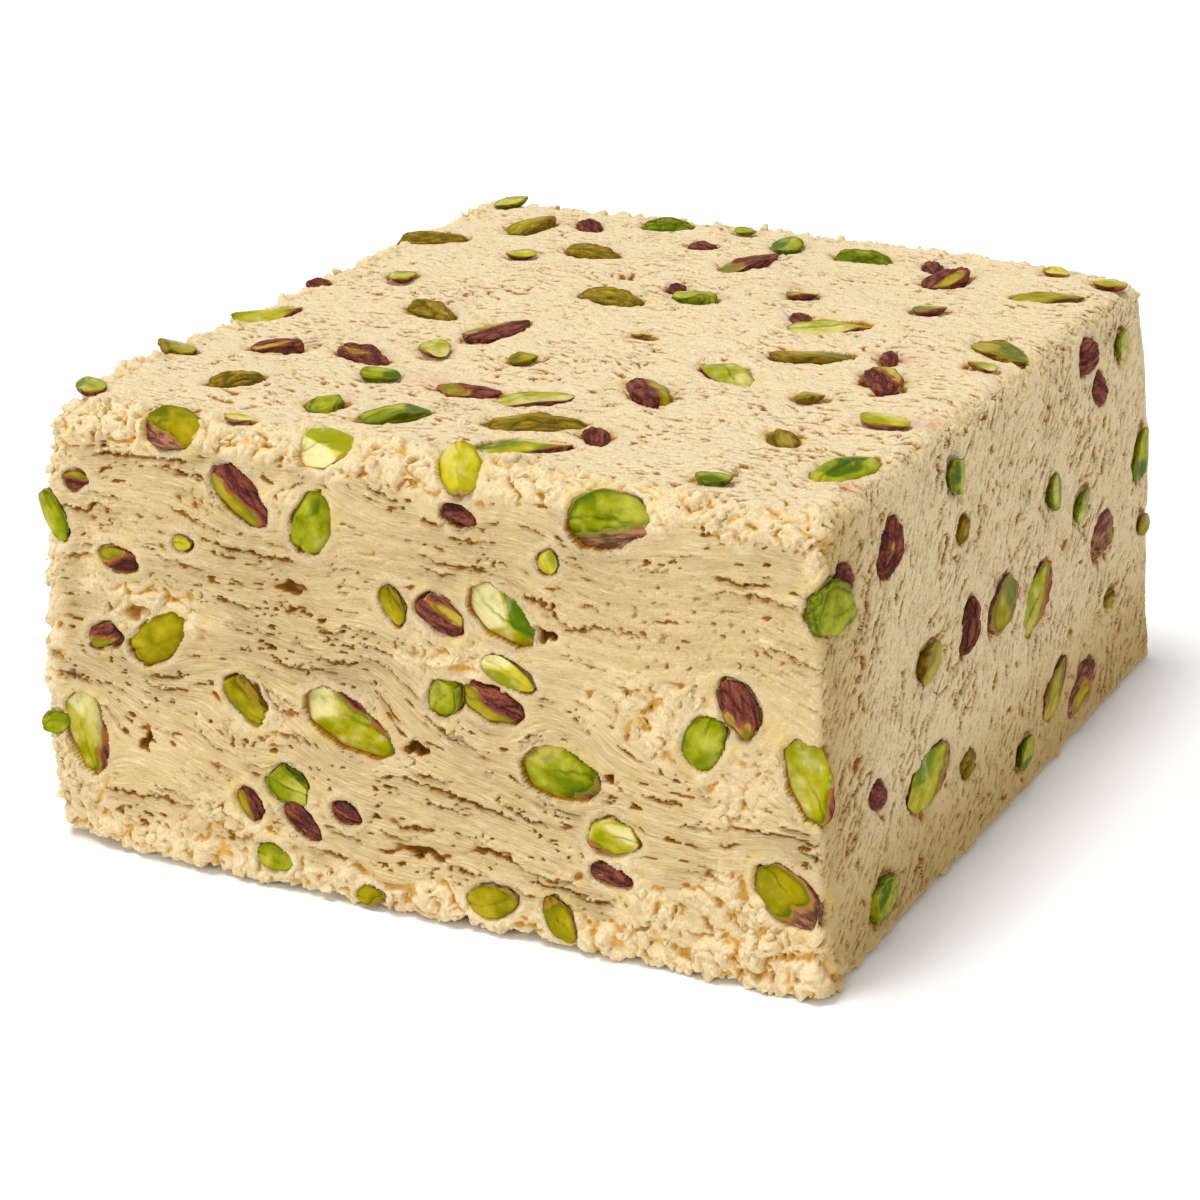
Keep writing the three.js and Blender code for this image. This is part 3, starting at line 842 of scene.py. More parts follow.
def front_stones():
    """The front face's kernels as stones for the strands to part round."""
    found = []
    for node in sorted(frame["nodes"]):
        if "_front_" in node:
            low, high = (np.array(corner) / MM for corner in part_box(node))
            size = (high - low)[[0, 2]]
            middle = ((low + high) / 2)[[0, 2]]
            found.append((middle[0], middle[1], STONE_SHARE * math.sqrt(size[0] * size[1])))
    return found


def face_cells(face):
    """How many cells a face has each way."""
    first, second, _, _ = FACES[face]
    return CELLS[first], CELLS[second] // (2 if face in COARSE else 1)


def face_grid(face):
    """The plain box's points over a face, in rows of columns."""
    first, second, axis, sign = FACES[face]
    lines = [np.linspace(*span(a), count + 1) for a, count in zip((first, second), face_cells(face))]
    grid = np.meshgrid(*lines, indexing="ij")
    box = np.zeros((*grid[0].shape, 3))
    box[..., first], box[..., second] = grid
    box[..., axis] = span(axis)[sign > 0]
    return box


def face_relief(face, box, points, out, stones, tree):
    """The relief over a face, the level that its pits are measured from, and what marks each point."""
    left, front = (np.where(out[:, axis] < 0, out[:, axis] ** 2, 0) for axis in (0, 1))
    right, back = (np.where(out[:, axis] > 0, out[:, axis] ** 2, 0) for axis in (0, 1))
    top = out[:, 2] ** 2
    relief = np.zeros(len(box))
    down, across = box[:, 1].copy(), box[:, 2].copy()
    pull = np.zeros(len(box))
    for weight, along, past in ((front, box[:, 0], stones), (left, box[:, 1] + LEFT_SHIFT, ())):
        if weight.max() > 0.01:
            here = flow_past(along, box[:, 2], past)
            calm = in_patches(box, CALM if past else ())
            relief += weight * strands(*here, points, calm)
            pull = np.maximum(pull, weight * (1 - 0.5 * calm))
            if weight.mean() > 0.5:
                down, across = here
    rising = box[:, 1] * math.cos(SLANT) + box[:, 2] * math.sin(SLANT)
    beside = box[:, 2] * math.cos(SLANT) - box[:, 1] * math.sin(SLANT)
    # The low part and the near part of the right face: painted shade darkens the halva's colour there, and
    # its sheets tear and pit more.
    oily = right * np.maximum(smoothstep(28, 3, box[:, 2]), 0.8 * smoothstep(26, 0, box[:, 1] + HALF_Y))
    bent = 4.5 * noise(box / 25, 111) + 1.3 * noise(box / 7, 112)
    sides = (
        (top, box[:, 0], box[:, 1] + bent, 0.45, 0.3, 101),
        (right, rising, beside + 0.6 * bent, 0.6 + 0.5 * oily, 0.3 + 0.4 * oily, 121),
        (back, box[:, 0], box[:, 2] + 0.8 * bent, 0.8, 0.15, 141),
    )
    for weight, first, second, tear, pits, seed in sides:
        if weight.max() > 0.01:
            relief += weight * pressed(first, second, points, tear, pits, seed)
            if weight.mean() > 0.5:
                down, across = first, second
                pull = np.maximum(pull, 0.25 * weight)
    crumble = np.maximum(edge_crumble(box), in_patches(box, PATCHES) * front)
    crumble = smoothstep(0.1, 0.75, crumble + 0.22 * noise(points / 4, 22) * (crumble > 0.02))
    some = crumble > 0.02
    relief[some] = mixed(relief[some], crumbled(points[some]), crumble[some])
    if front.max() > 0.5:
        relief -= front * hollows(box)
    away, height, facing = kernel_heights(tree, points, out)
    near = away < KERNEL_REACH - 0.1
    level = relief.copy()
    close = [values[near] for values in (points, away, height, facing, relief, front)]
    relief[near] = around_kernels(*close)
    marks = {
        "blush": top * in_patches(box, BLUSHES, 1),
        "crumble": crumble,
        "oily": oily,
        "loose": crumble * smoothstep(0.6, 1.6, away),
        "pressed": np.maximum(top, 0.6 * right * (1 - oily)) * (1 - crumble),
        "pull": pull * (1 - crumble) * smoothstep(0.3, 2.0, away),
        "film": smoothstep(2.4, 0.8, away) * (1 - 0.6 * crumble),
        "stain": smoothstep(3.0, 0.8, away) * smoothstep(0.15, 0.55, noise(points / 5, 94)),
        "grain": np.stack([down, across, box[:, 1] * 0.1], 1),
    }
    return relief, np.where(height > 0, level, relief), marks


def closed_over(rows, columns):
    """Faces that close a grid of points with a ring of others within, and which points are on its rim."""
    index = np.arange(rows * columns).reshape(rows, columns)
    quads = np.stack([index[:-1, :-1], index[1:, :-1], index[1:, 1:], index[:-1, 1:]], -1).reshape(-1, 4)
    rim = np.concatenate([index[:-1, 0], index[-1, :-1], index[:0:-1, -1], index[0, :0:-1]])
    inside = np.arange(len(rim)) + rows * columns
    walls = np.stack([rim, inside, np.roll(inside, -1), np.roll(rim, -1)], -1)
    return quads.tolist() + walls.tolist() + [inside[::-1].tolist()], rim


def face_normals(face, surface):
    """The directions that a face's grid of points looks in, and whether its quads have to be turned over."""
    first, second, _, _ = FACES[face]
    turned = np.cross(np.eye(3)[first], np.eye(3)[second]) @ outward(face) < 0
    normals = np.cross(np.gradient(surface, axis=0), np.gradient(surface, axis=1)) * (-1 if turned else 1)
    return normals / np.linalg.norm(normals, axis=2, keepdims=True), turned


def skin_piece(name, box, surface, marks, normals, turned):
    """One closed skin as a piece, from grids of points, of what marks them and of directions."""
    faces, rim = closed_over(*surface.shape[:2])
    shrink = (np.array([HALF_X, HALF_Y, HEIGHT]) - SKIN_DEPTH) / [HALF_X, HALF_Y, HEIGHT]
    within = box.reshape(-1, 3)[rim] * shrink + [MIDDLE[0], MIDDLE[1], SKIN_LIFT]
    if turned:
        faces = [side[::-1] for side in faces]
    closing = {"grain": within}
    chosen = {}
    for key, values in marks.items():
        values = values.reshape(-1, *values.shape[2:])
        chosen[key] = np.concatenate([values, closing.get(key, np.zeros(len(within)))])
    places = np.concatenate([surface.reshape(-1, 3), within])
    piece = write_mesh(name, places, faces, chosen, bpy.data.materials["sesame_halva"])
    facing = np.concatenate([normals.reshape(-1, 3), np.zeros_like(within)])
    piece.data.normals_split_custom_set_from_vertices(facing.tolist())
    finished(piece, "halva", "halva_block")


def halva_face(face, stones, tree):
    """One face of the block as thick closed skins."""
    box = face_grid(face)
    shape = box.shape[:2]
    flat = box.reshape(-1, 3)
    points, out = formed(flat)
    relief, level, marks = face_relief(face, flat, points, out, stones, tree)
    surface = points + out * relief[:, None]
    surface[:, 2] = np.maximum(surface[:, 2], LOWEST)
    surface = surface.reshape(box.shape)
    if face not in COARSE and FACES[face][1] == 2:
        # Every second point of an upright edge lies between its neighbours, as a coarse face has none there.
        for line in (surface[0], surface[-1]):
            line[1:-1:2] = (line[:-2:2] + line[2::2]) / 2
    # Painted shade: how far each point lies below the evened-out surface around it, in narrow pits and in
    # wide hollows, less in crumbly parts.
    shade_in_hollows = smoothstep(0.06, 0.65, blurred(level, shape, PIT_WINDOW) - level)
    wide = smoothstep(0.2, 1.6, blurred(level, shape, HOLLOW_WINDOW) - level)
    marks["shade_in_hollows"] = (shade_in_hollows + 0.7 * wide) * (1 - 0.4 * marks["crumble"])
    marks = {key: values.reshape(*shape, *values.shape[1:]) for key, values in marks.items()}
    normals, turned = face_normals(face, surface)
    count = PARTS.get(face, 1)
    for part in range(count):
        last = shape[0] if part == count - 1 else shape[0] // count * (part + 1) + 1
        rows = slice(shape[0] // count * part, last)
        name = f"halva_{face}" if count == 1 else f"halva_{face}_{part + 1}"
        chosen = {key: values[rows] for key, values in marks.items()}
        skin_piece(name, box[rows], surface[rows], chosen, normals[rows], turned)


# --- Materials ---


def feed(tree, socket, value):
    """Links another socket to a socket, or sets its value."""
    if isinstance(value, bpy.types.NodeSocket):
        tree.links.new(value, socket)
    else:
        socket.default_value = value


def add(tree, kind, inputs=None, **settings):
    """A node with its settings, and its inputs linked or set."""
    made = tree.nodes.new(kind)
    for key, value in settings.items():
        setattr(made, key, value)
    for socket, value in (inputs or {}).items():
        feed(tree, made.inputs[socket], value)
    return made


def blend_colours(tree, share, first, second):
    made = add(tree, "ShaderNodeMix", data_type="RGBA")
    sockets = {socket.identifier: socket for socket in (*made.inputs, *made.outputs)}
    feed(tree, sockets["Factor_Float"], share)
    for key, colour in (("A_Color", first), ("B_Color", second)):
        feed(tree, sockets[key], colour if isinstance(colour, bpy.types.NodeSocket) else (*colour[:3], 1))
    return sockets["Result_Color"]


def layered(tree, colour, *layers):
    """A colour with others laid over it in turn: how much of each, and its colour."""
    for share, over in layers:
        colour = blend_colours(tree, share, colour, over)
    return colour


def mixed_values(tree, share, first, second):
    return add(tree, "ShaderNodeMix", {0: share, 2: first, 3: second}).outputs[0]


def math_node(tree, operation, first, second=0.5):
    return add(tree, "ShaderNodeMath", {0: first, 1: second}, operation=operation).outputs[0]


def times(tree, first, second):
    return math_node(tree, "MULTIPLY", first, second)


def ramp(tree, value, low, high, to_low=0.0, to_high=1.0):
    inputs = {"Value": value, "From Min": low, "From Max": high, "To Min": to_low, "To Max": to_high}
    return add(tree, "ShaderNodeMapRange", inputs, interpolation_type="SMOOTHSTEP").outputs[0]


def mark_values(tree, names):
    """The values that mark the points of a piece."""
    return {name: add(tree, "ShaderNodeAttribute", attribute_name=name).outputs["Fac"] for name in names}


def new_noise(tree, vector, scale, detail=2.0, roughness=0.5):
    inputs = {"Vector": vector, "Scale": scale, "Detail": detail, "Roughness": roughness}
    return add(tree, "ShaderNodeTexNoise", inputs).outputs["Fac"]


def stretched_noise(tree, vector, scale, detail=3.0, roughness=0.55):
    places = add(tree, "ShaderNodeVectorMath", {0: vector, 1: scale}, operation="MULTIPLY").outputs[0]
    return new_noise(tree, places, 1.0, detail, roughness)


def scaled(tree, vector, scale):
    """A vector times a number."""
    return add(tree, "ShaderNodeVectorMath", {0: vector, "Scale": scale}, operation="SCALE").outputs[0]


def new_group(name, kind, inputs, outputs):
    """A node group with inputs and outputs (name, socket type, default), and its first and last node."""
    group = bpy.data.node_groups.new(name, kind)
    for way, rows in (("INPUT", inputs), ("OUTPUT", outputs)):
        for label, socket_type, default in rows:
            socket = group.interface.new_socket(label, in_out=way, socket_type=socket_type)
            if default is not None:
                socket.default_value = default
    return group, group.nodes.new("NodeGroupInput"), group.nodes.new("NodeGroupOutput")


def new_material(name):
    """A material: itself, its nodes and its shader."""
    material = bpy.data.materials.new(name)
    material.use_nodes = True
    return material, material.node_tree, material.node_tree.nodes["Principled BSDF"]


def soften(shader, specular, radius, scale):
    """Sets how a surface shines, and how light spreads under it."""
    shader.inputs["Specular IOR Level"].default_value = specular
    shader.inputs["Subsurface Weight"].default_value = 0.15
    shader.inputs["Subsurface Radius"].default_value = radius
    shader.inputs["Subsurface Scale"].default_value = scale


def grain_group():
    """Fine grain that may be drawn out along the strands: a mask and a height."""
    inputs = (
        ("Vector", "NodeSocketVector", None), ("Pull", "NodeSocketFloat", 0.0),
        ("Fibre Scale", "NodeSocketVector", (0.26, 3.1, 0.5)), ("Grain Scale", "NodeSocketFloat", 2.0),
    )
    outputs = (("Mask", "NodeSocketFloat", None), ("Height", "NodeSocketFloat", None))
    group, start, end = new_group("drawn_grain", "ShaderNodeTree", inputs, outputs)
    fibre = stretched_noise(group, start.outputs["Vector"], start.outputs["Fibre Scale"], 3.0, 0.65)
    places = add(group, "ShaderNodeTexCoord").outputs["Object"]
    fine = scaled(group, scaled(group, places, 1 / MM), start.outputs["Grain Scale"])
    grain = new_noise(group, fine, 1.0, 5.0)
    mask = mixed_values(group, start.outputs["Pull"], grain, fibre)
    feed(group, end.inputs["Mask"], mask)
    feed(group, end.inputs["Height"], math_node(group, "ADD", mask, times(group, grain, 0.35)))
    return group


MARKS = ("pull", "shade_in_hollows", "crumble", "film", "stain", "pressed", "oily", "blush")


def halva_material(name, colours, group):
    """Halva: pale sand, with painted highlight on its raised threads and painted shade between them, painted
    shade in its pits, gaps and cracks and low on the right face, and creamier where it crumbles.
    """
    _, tree, shader = new_material(name)
    grain = add(tree, "ShaderNodeAttribute", attribute_name="grain").outputs["Vector"]
    masks = mark_values(tree, MARKS)
    drawn_out = add(tree, "ShaderNodeGroup", node_tree=group)
    feed(tree, drawn_out.inputs["Vector"], grain)
    feed(tree, drawn_out.inputs["Pull"], masks["pull"])
    thread = drawn_out.outputs["Mask"]
    places = add(tree, "ShaderNodeTexCoord").outputs["Object"]
    blotch = new_noise(tree, places, 60.0, 3.0)
    specks = new_noise(tree, places, 450.0)
    band = stretched_noise(tree, grain, (0.05, 0.42, 0.2), 2.0)
    fleck = stretched_noise(tree, grain, (0.55, 1.5, 0.5), 2.0)
    # The colour of the painted shade in pits: amber, orange-brown along pulled strands, gold in crumbly
    # parts.
    pit = layered(tree, colours.amber, (masks["pull"], colours.pit), (masks["crumble"], colours.gold))
    colour = layered(
        tree,
        colours.halva,
        (ramp(tree, blotch, 0.35, 0.65, 0, 0.5), colours.halva_deep),
        (ramp(tree, band, 0.40, 0.62, 0, 0.5), colours.halva_deep),
        (times(tree, masks["pressed"], 0.8), colours.pressed),
        # Painted highlight on the raised threads and painted shade between them, from the same pattern as the
        # bump's height.
        (ramp(tree, thread, 0.51, 0.66, 0, 0.6), colours.crumb),
        (ramp(tree, thread, 0.48, 0.32, 0, 0.65), colours.thread),
        (times(tree, masks["crumble"], 0.35), colours.crumb),
        (times(tree, masks["film"], 0.35), colours.film),
        (ramp(tree, specks, 0.68, 0.76, 0, 0.5), colours.crumb),
        # Painted shade, low and near on the right face.
        (times(tree, masks["oily"], 0.85), colours.oily),
        (times(tree, masks["stain"], 0.35), colours.stain),
        (times(tree, masks["blush"], ramp(tree, specks, 0.42, 0.56, 0.2, 0.9)), colours.blush),
        # Painted shade down in pits, gaps and cracks, darkest brown at the bottom of the deepest.
        (ramp(tree, masks["shade_in_hollows"], 0, 0.62, 0, 0.97), pit),
        (ramp(tree, masks["shade_in_hollows"], 0.8, 1.6, 0, 0.85), colours.depth),
        (times(tree, ramp(tree, fleck, 0.66, 0.72, 0, 0.6), masks["pressed"]), colours.stain),
    )
    feed(tree, shader.inputs["Base Color"], colour)
    feed(tree, shader.inputs["Roughness"], mixed_values(tree, masks["film"], 0.6, 0.42))
    soften(shader, 0.12, (1.0, 0.6, 0.25), 0.0015)
    smooth = mixed_values(tree, masks["crumble"], 1.0, 0.4)
    smooth = times(tree, smooth, mixed_values(tree, masks["pressed"], 1.0, 0.55))
    bump = {"Height": drawn_out.outputs["Height"], "Strength": smooth, "Distance": 0.0006}
    feed(tree, shader.inputs["Normal"], add(tree, "ShaderNodeBump", bump).outputs["Normal"])


def kernel_material(look, colours):
    """A kernel: cut flesh that pales towards its middle, with a golden rim, and wrinkled mottled skin with
    painted shade in its creases.
    """
    skin, skin_other, flesh, rim, pale = colours
    _, tree, shader = new_material("kernel_" + look)
    masks = mark_values(tree, ("core", "tone", "cleft", "crease_shade", "flesh", "rosy"))
    grain = add(tree, "ShaderNodeAttribute", attribute_name="grain").outputs["Vector"]
    streaks = stretched_noise(tree, grain, (0.22, 1.1, 1.1), 4.0, 0.65)
    mottle = stretched_noise(tree, grain, (0.35, 0.35, 0.35), 3.0)
    fine = stretched_noise(tree, grain, (1.8, 3.2, 3.2), 4.0, 0.65)
    dark = tuple(c * 0.32 for c in skin)
    dusty = tuple(c * 0.6 + light for c, light in zip(skin, DUST))
    rosy = blend_colours(tree, ramp(tree, streaks, 0.42, 0.58), *map(linear, ROSE))
    outer = layered(
        tree,
        skin,
        (ramp(tree, streaks, 0.44, 0.60), skin_other),
        (ramp(tree, fine, 0.50, 0.68, 0, 0.5), dusty),
        (ramp(tree, fine, 0.48, 0.32, 0, 0.6), dark),
        (times(tree, masks["rosy"], 0.9), rosy),
        # Painted shade in the skin's creases.
        (times(tree, masks["crease_shade"], 0.7), dark),
        (ramp(tree, masks["core"], 0.08, 0.42, 0, 0.75), linear(SKIN_BORDERS[look])),
    )
    uneven = times(tree, math_node(tree, "SUBTRACT", mottle), 0.5)
    depth = math_node(tree, "ADD", masks["core"], uneven)
    inner = layered(
        tree,
        rim,
        (ramp(tree, depth, 0.50, 0.95), flesh),
        (ramp(tree, depth, 0.92, 1.25, 0, 0.6), pale),
        (ramp(tree, masks["tone"], 0.1, 1.0, 0, 0.95), pale),
        (ramp(tree, masks["tone"], -0.1, -1.0, 0, 0.95), rim),
        (ramp(tree, mottle, 0.54, 0.70, 0, 0.3), pale),
        (ramp(tree, mottle, 0.52, 0.30, 0, 0.45), rim),
        (ramp(tree, streaks, 0.50, 0.36, 0, 0.15), rim),
        (times(tree, masks["cleft"], 0.6), tuple(c * 0.6 for c in rim)),
        (ramp(tree, masks["core"], 0.60, 0.35, 0, 0.8), FLESH_BORDER),
    )
    edge = math_node(tree, "ADD", masks["flesh"], times(tree, math_node(tree, "SUBTRACT", fine), 0.8))
    bare = ramp(tree, edge, 0.44, 0.56)
    feed(tree, shader.inputs["Base Color"], blend_colours(tree, bare, outer, inner))
    feed(tree, shader.inputs["Roughness"], ramp(tree, bare, 0, 1, 0.45, 0.22))
    soften(shader, 0.02, (0.8, 1.0, 0.2), 0.0012)
    rough = times(tree, fine, ramp(tree, bare, 0, 1, 1.0, 0.25))
    height = math_node(tree, "ADD", rough, times(tree, streaks, ramp(tree, bare, 0, 1, 0.7, 0.25)))
    bump = add(tree, "ShaderNodeBump", {"Height": height, "Strength": 0.6, "Distance": 0.0004})
    feed(tree, shader.inputs["Normal"], bump.outputs["Normal"])


def linear(code):
    """A colour written as six hexadecimal digits, as linear red, green and blue."""
    parts = [int(code[i : i + 2], 16) / 255 for i in (0, 2, 4)]
    return tuple(c / 12.92 if c <= 0.04045 else ((c + 0.055) / 1.055) ** 2.4 for c in parts)


ROSE = ("6e3c3c", "b47860")  # the darker and the lighter parts of a rosy skin
DUST = (0.17, 0.125, 0.05)  # how much lighter, in linear red, green and blue, the dusty parts of a skin are
FLESH_BORDER = (0.42, 0.27, 0.05)  # the flesh next to the skin, in linear red, green and blue
# The skin next to bare flesh.
SKIN_BORDERS = {
    "bright": "b5702c", "green": "8f8a1e", "olive": "a87c22", "purple": "ad6228", "pale": "bd9040",
}
# Skin, the skin's other colour, flesh, its rim, and its palest parts.
KERNEL_COLOURS = {
    "bright": ("64323a", "a0622c", "aca00a", "527406", "e6d99a"),
    "green": ("586c0c", "868a18", "949608", "405c08", "ccc458"),
    "olive": ("705e14", "9c7e1e", "9a8a04", "5c6206", "c2ab30"),
    "purple": ("5c2c2a", "8e4c38", "a29412", "74701a", "cbb454"),
    "pale": ("8c5642", "b48c4c", "c4b41e", "8a8c10", "eadca4"),
}


# --- Loose crumbs ---

CRUMB_LOWEST = 0.0001  # how high above the floor the lowest crumbs end, in metres


def crumb_group():
    """A tree that strews crumbs over a collection's pieces wherever their "loose" attribute says."""
    inputs = (
        ("Ground", "NodeSocketCollection", None), ("Density", "NodeSocketFloat", 20.0),
        ("Size", "NodeSocketFloat", 0.002), ("Seed", "NodeSocketInt", 0),
        ("Material", "NodeSocketMaterial", None),
    )
    outputs = (("Geometry", "NodeSocketGeometry", None),)
    tree, start, end = new_group("strewn_crumbs", "GeometryNodeTree", inputs, outputs)
    given = start.outputs
    ground = add(tree, "GeometryNodeCollectionInfo", {"Collection": given["Ground"]}).outputs[0]
    ground = add(tree, "GeometryNodeRealizeInstances", {"Geometry": ground}).outputs[0]
    loose = add(tree, "GeometryNodeInputNamedAttribute", {"Name": "loose"}, data_type="FLOAT").outputs[0]
    strewn = {"Mesh": ground, "Density": times(tree, loose, given["Density"]), "Seed": given["Seed"]}
    strewn = add(tree, "GeometryNodeDistributePointsOnFaces", strewn).outputs[0]
    crumb = add(tree, "GeometryNodeMeshUVSphere", {"Segments": 7, "Rings": 5, "Radius": 0.5}).outputs[0]
    size = add(tree, "FunctionNodeRandomValue", {2: 0.35, 3: 1.0, "Seed": 3}, data_type="FLOAT").outputs[1]
    size = times(tree, times(tree, size, size), given["Size"])
    slim = {0: (0.6, 0.45, 0.3), 1: (1.2, 1.0, 0.8), "Seed": 7}
    slim = add(tree, "FunctionNodeRandomValue", slim, data_type="FLOAT_VECTOR").outputs[0]
    turn = {0: (0, 0, 0), 1: (6.3, 6.3, 6.3), "Seed": 5}
    turn = add(tree, "FunctionNodeRandomValue", turn, data_type="FLOAT_VECTOR").outputs[0]
    made = {"Points": strewn, "Instance": crumb, "Rotation": turn, "Scale": scaled(tree, slim, size)}
    made = add(tree, "GeometryNodeInstanceOnPoints", made).outputs[0]
    made = add(tree, "GeometryNodeRealizeInstances", {"Geometry": made}).outputs[0]
    place = add(tree, "GeometryNodeInputPosition").outputs[0]
    rough = add(tree, "ShaderNodeTexNoise", {"Vector": place, "Scale": 750.0, "Detail": 2.0}).outputs["Color"]
    rough = add(tree, "ShaderNodeVectorMath", {0: rough, 1: (0.5, 0.5, 0.5)}, operation="SUBTRACT").outputs[0]
    rough = scaled(tree, rough, 0.0024)
    made = add(tree, "GeometryNodeSetPosition", {"Geometry": made, "Offset": rough}).outputs[0]
    made = add(tree, "GeometryNodeSetShadeSmooth", {"Geometry": made}).outputs[0]
    made = add(tree, "GeometryNodeSetMaterial", {"Geometry": made, "Material": given["Material"]}).outputs[0]
    feed(tree, end.inputs[0], made)
    return tree


# --- The stage ---

FLOOR_REACH = 6.0  # in metres, as all of the stage
FLOOR_SHADE = 0.92
FLOOR_ROUGHNESS = 0.9
WORLD_STRENGTH = 0.575
# Soft lamps: name, the direction that each shines from, how wide it looks in degrees, and its strength.
LAMPS = (
    ("key", (-0.17, -0.15, 1.0), 20, 0.61),
    ("front", (-0.42, -0.87, 0.26), 24, 0.325),
    ("side", (0.87, -0.40, 0.30), 30, 0.115),
)
# The camera: its angles in degrees, what it looks at and from how far, and its lens and sensor in mm.
AZIMUTH, ELEVATION = 26.12, 20.26
TARGET, DISTANCE = (-0.00649, 0, 0.02573), 0.603
LENS, SENSOR = 101.6, 36


# --- Settings, operators and panel ---


def colour_property(label, code, text):
    return FloatVectorProperty(
        name=label, description=text, subtype="COLOR", size=3, min=0, max=1, default=linear(code)
    )


class HalvaColours(bpy.types.PropertyGroup):
    """The colours of the halva."""

    halva: colour_property("Halva", "dcc38f", "Colour of the halva's surface")
    halva_deep: colour_property("Darker Halva", "cdb07a", "Colour of its darker blotches and bands")
    # Painted shade between the raised threads.
    thread: colour_property("Darker Threads", "b8965a", "Colour between its palest threads")
    # Also the painted highlight on the raised threads; on crumbly parts and specks it is the halva's own
    # paler colour.
    crumb: colour_property("Crumbs", "eedfbc", "Colour of the freshly crumbled parts and the palest threads")
    pressed: colour_property("Pressed Halva", "e3d0aa", "Colour of the smooth top")
    film: colour_property("Film", "d8c6a2", "Colour of the smooth halva round each kernel")
    # Painted shade: the right face is darker low down and near its near edge, where less light reaches.
    oily: colour_property("Shaded Halva Low Right", "bfa062", "Colour of the painted shade low and near on the right side")
    stain: colour_property("Stain", "e0bf58", "Colour of the oily stains near some kernels")
    blush: colour_property("Blush", "d09a86", "Colour of the tinge that purple skins leave on the top")
    # Painted shade down in the tears and gaps of the pulled halva.
    pit: colour_property("Pits", "a06606", "Colour down in its tears and gaps")
    # Painted shade, amber, down in the pits of the pressed and sliced faces.
    amber: colour_property("Amber", "b27404", "Colour down in the pits of its pressed and sliced faces")
    # Painted shade, dark brown, at the bottom of the deepest gaps.
    depth: colour_property("Depths", "583804", "Colour at the bottom of its deepest gaps")
    # Painted shade, gold, down in the cracks of the crumbly parts.
    gold: colour_property("Gold", "dcae54", "Colour down in the cracks of its crumbly parts")


class HalvaSizes(bpy.types.PropertyGroup):
    """Sizes of what is strewn over the block."""

    crumb_density: FloatProperty(
        name="Crumb Density", description="Crumbs to a square metre of crumbly halva", default=45000, min=0
    )
    crumb_size: FloatProperty(
        name="Crumb Size", description="Width of the widest crumbs", default=0.0024, unit="LENGTH"
    )
    seed: IntProperty(name="Seed", description="Start of the random draws", default=4, min=0)


class HALVA_OT_materials(bpy.types.Operator):
    """Make the halva's and the kernels' materials"""

    bl_idname = "halva.materials"
    bl_label = "Materials"

    def execute(self, context):
        halva_material("sesame_halva", context.scene.halva_colours, grain_group())
        for look, codes in KERNEL_COLOURS.items():
            kernel_material(look, [linear(code) for code in codes])
        return {"FINISHED"}


class HALVA_OT_kernels(bpy.types.Operator):
    """Make a finely shaped kernel for each kernel of the frame"""

    bl_idname = "halva.kernels"
    bl_label = "Kernels"

    def execute(self, context):
        ball = unit_ball(KERNEL_LEVEL)
        looks = {row["node"]: row["material_slot"] for row in frame["record"]["subparts"]}
        for index, node in enumerate(sorted(frame["nodes"])):
            if node != "halva_block":
                node_kernel(node, looks[node], index, ball)
        return {"FINISHED"}


class HALVA_OT_chips(bpy.types.Operator):
    """Make the small chips, and the kernels on the hidden faces"""

    bl_idname = "halva.chips"
    bl_label = "Chips"

    def execute(self, context):
        ball = unit_ball(CHIP_LEVEL)
        hidden = {face: scattered_rows(face, count, seed) for face, (count, seed) in HIDDEN.items()}
        for name, chips in (("kernel_chips", SHOWN_CHIPS), ("kernel_far", hidden)):
            rows = [(face, row) for face in chips for row in chips[face]]
            for look in SHADES:
                chosen = [(index, face, row) for index, (face, row) in enumerate(rows) if row[-1] == look]
                made = [loose_kernel(face, row, CHIP_SEED + index, ball) for index, face, row in chosen]
                if made:
                    joined(f"{name}_{look}", look, made, ball)
        return {"FINISHED"}


class HALVA_OT_block(bpy.types.Operator):
    """Make the halva's five outer faces, with their strands, pits, lumps and sockets"""

    bl_idname = "halva.block"
    bl_label = "Block"

    def execute(self, context):
        tree = kernel_tree()
        stones = front_stones()
        for face in FACES:
            halva_face(face, stones, tree)
        return {"FINISHED"}


class HALVA_OT_core(bpy.types.Operator):
    """Make the solid inside of the block and its flat foot"""

    bl_idname = "halva.core"
    bl_label = "Core"

    def execute(self, context):
        half = (HALF_X - SKIN_DEPTH + CORE_OVERLAP, HALF_Y - SKIN_DEPTH + CORE_OVERLAP)
        x, y = np.meshgrid(*(np.linspace(-reach, reach, count + 1) for reach, count in zip(half, CORE_CELLS)))
        faces, rim = closed_over(*x.shape)
        foot = np.stack([x.ravel(), y.ravel(), np.zeros(x.size)], 1)
        dents = CORE_DENTS * smoothstep(0.1, 0.6, noise(foot / 5, 161))
        dents[rim] = 0
        top = foot[rim] + [0, 0, HEIGHT - SKIN_DEPTH + SKIN_LIFT + CORE_OVERLAP]
        points = np.concatenate([foot, top]) + [MIDDLE[0], MIDDLE[1], 0]
        dents = np.concatenate([dents, np.zeros(len(rim))])
        points[:, 2] += dents
        # The foot's dents take painted shade, as pits do.
        marks = {"shade_in_hollows": dents, "crumble": dents * 0, "pull": dents * 0, "grain": points}
        piece = write_mesh("halva_core", points, faces, marks, bpy.data.materials["sesame_halva"])
        finished(piece, "halva", "halva_block")
        return {"FINISHED"}


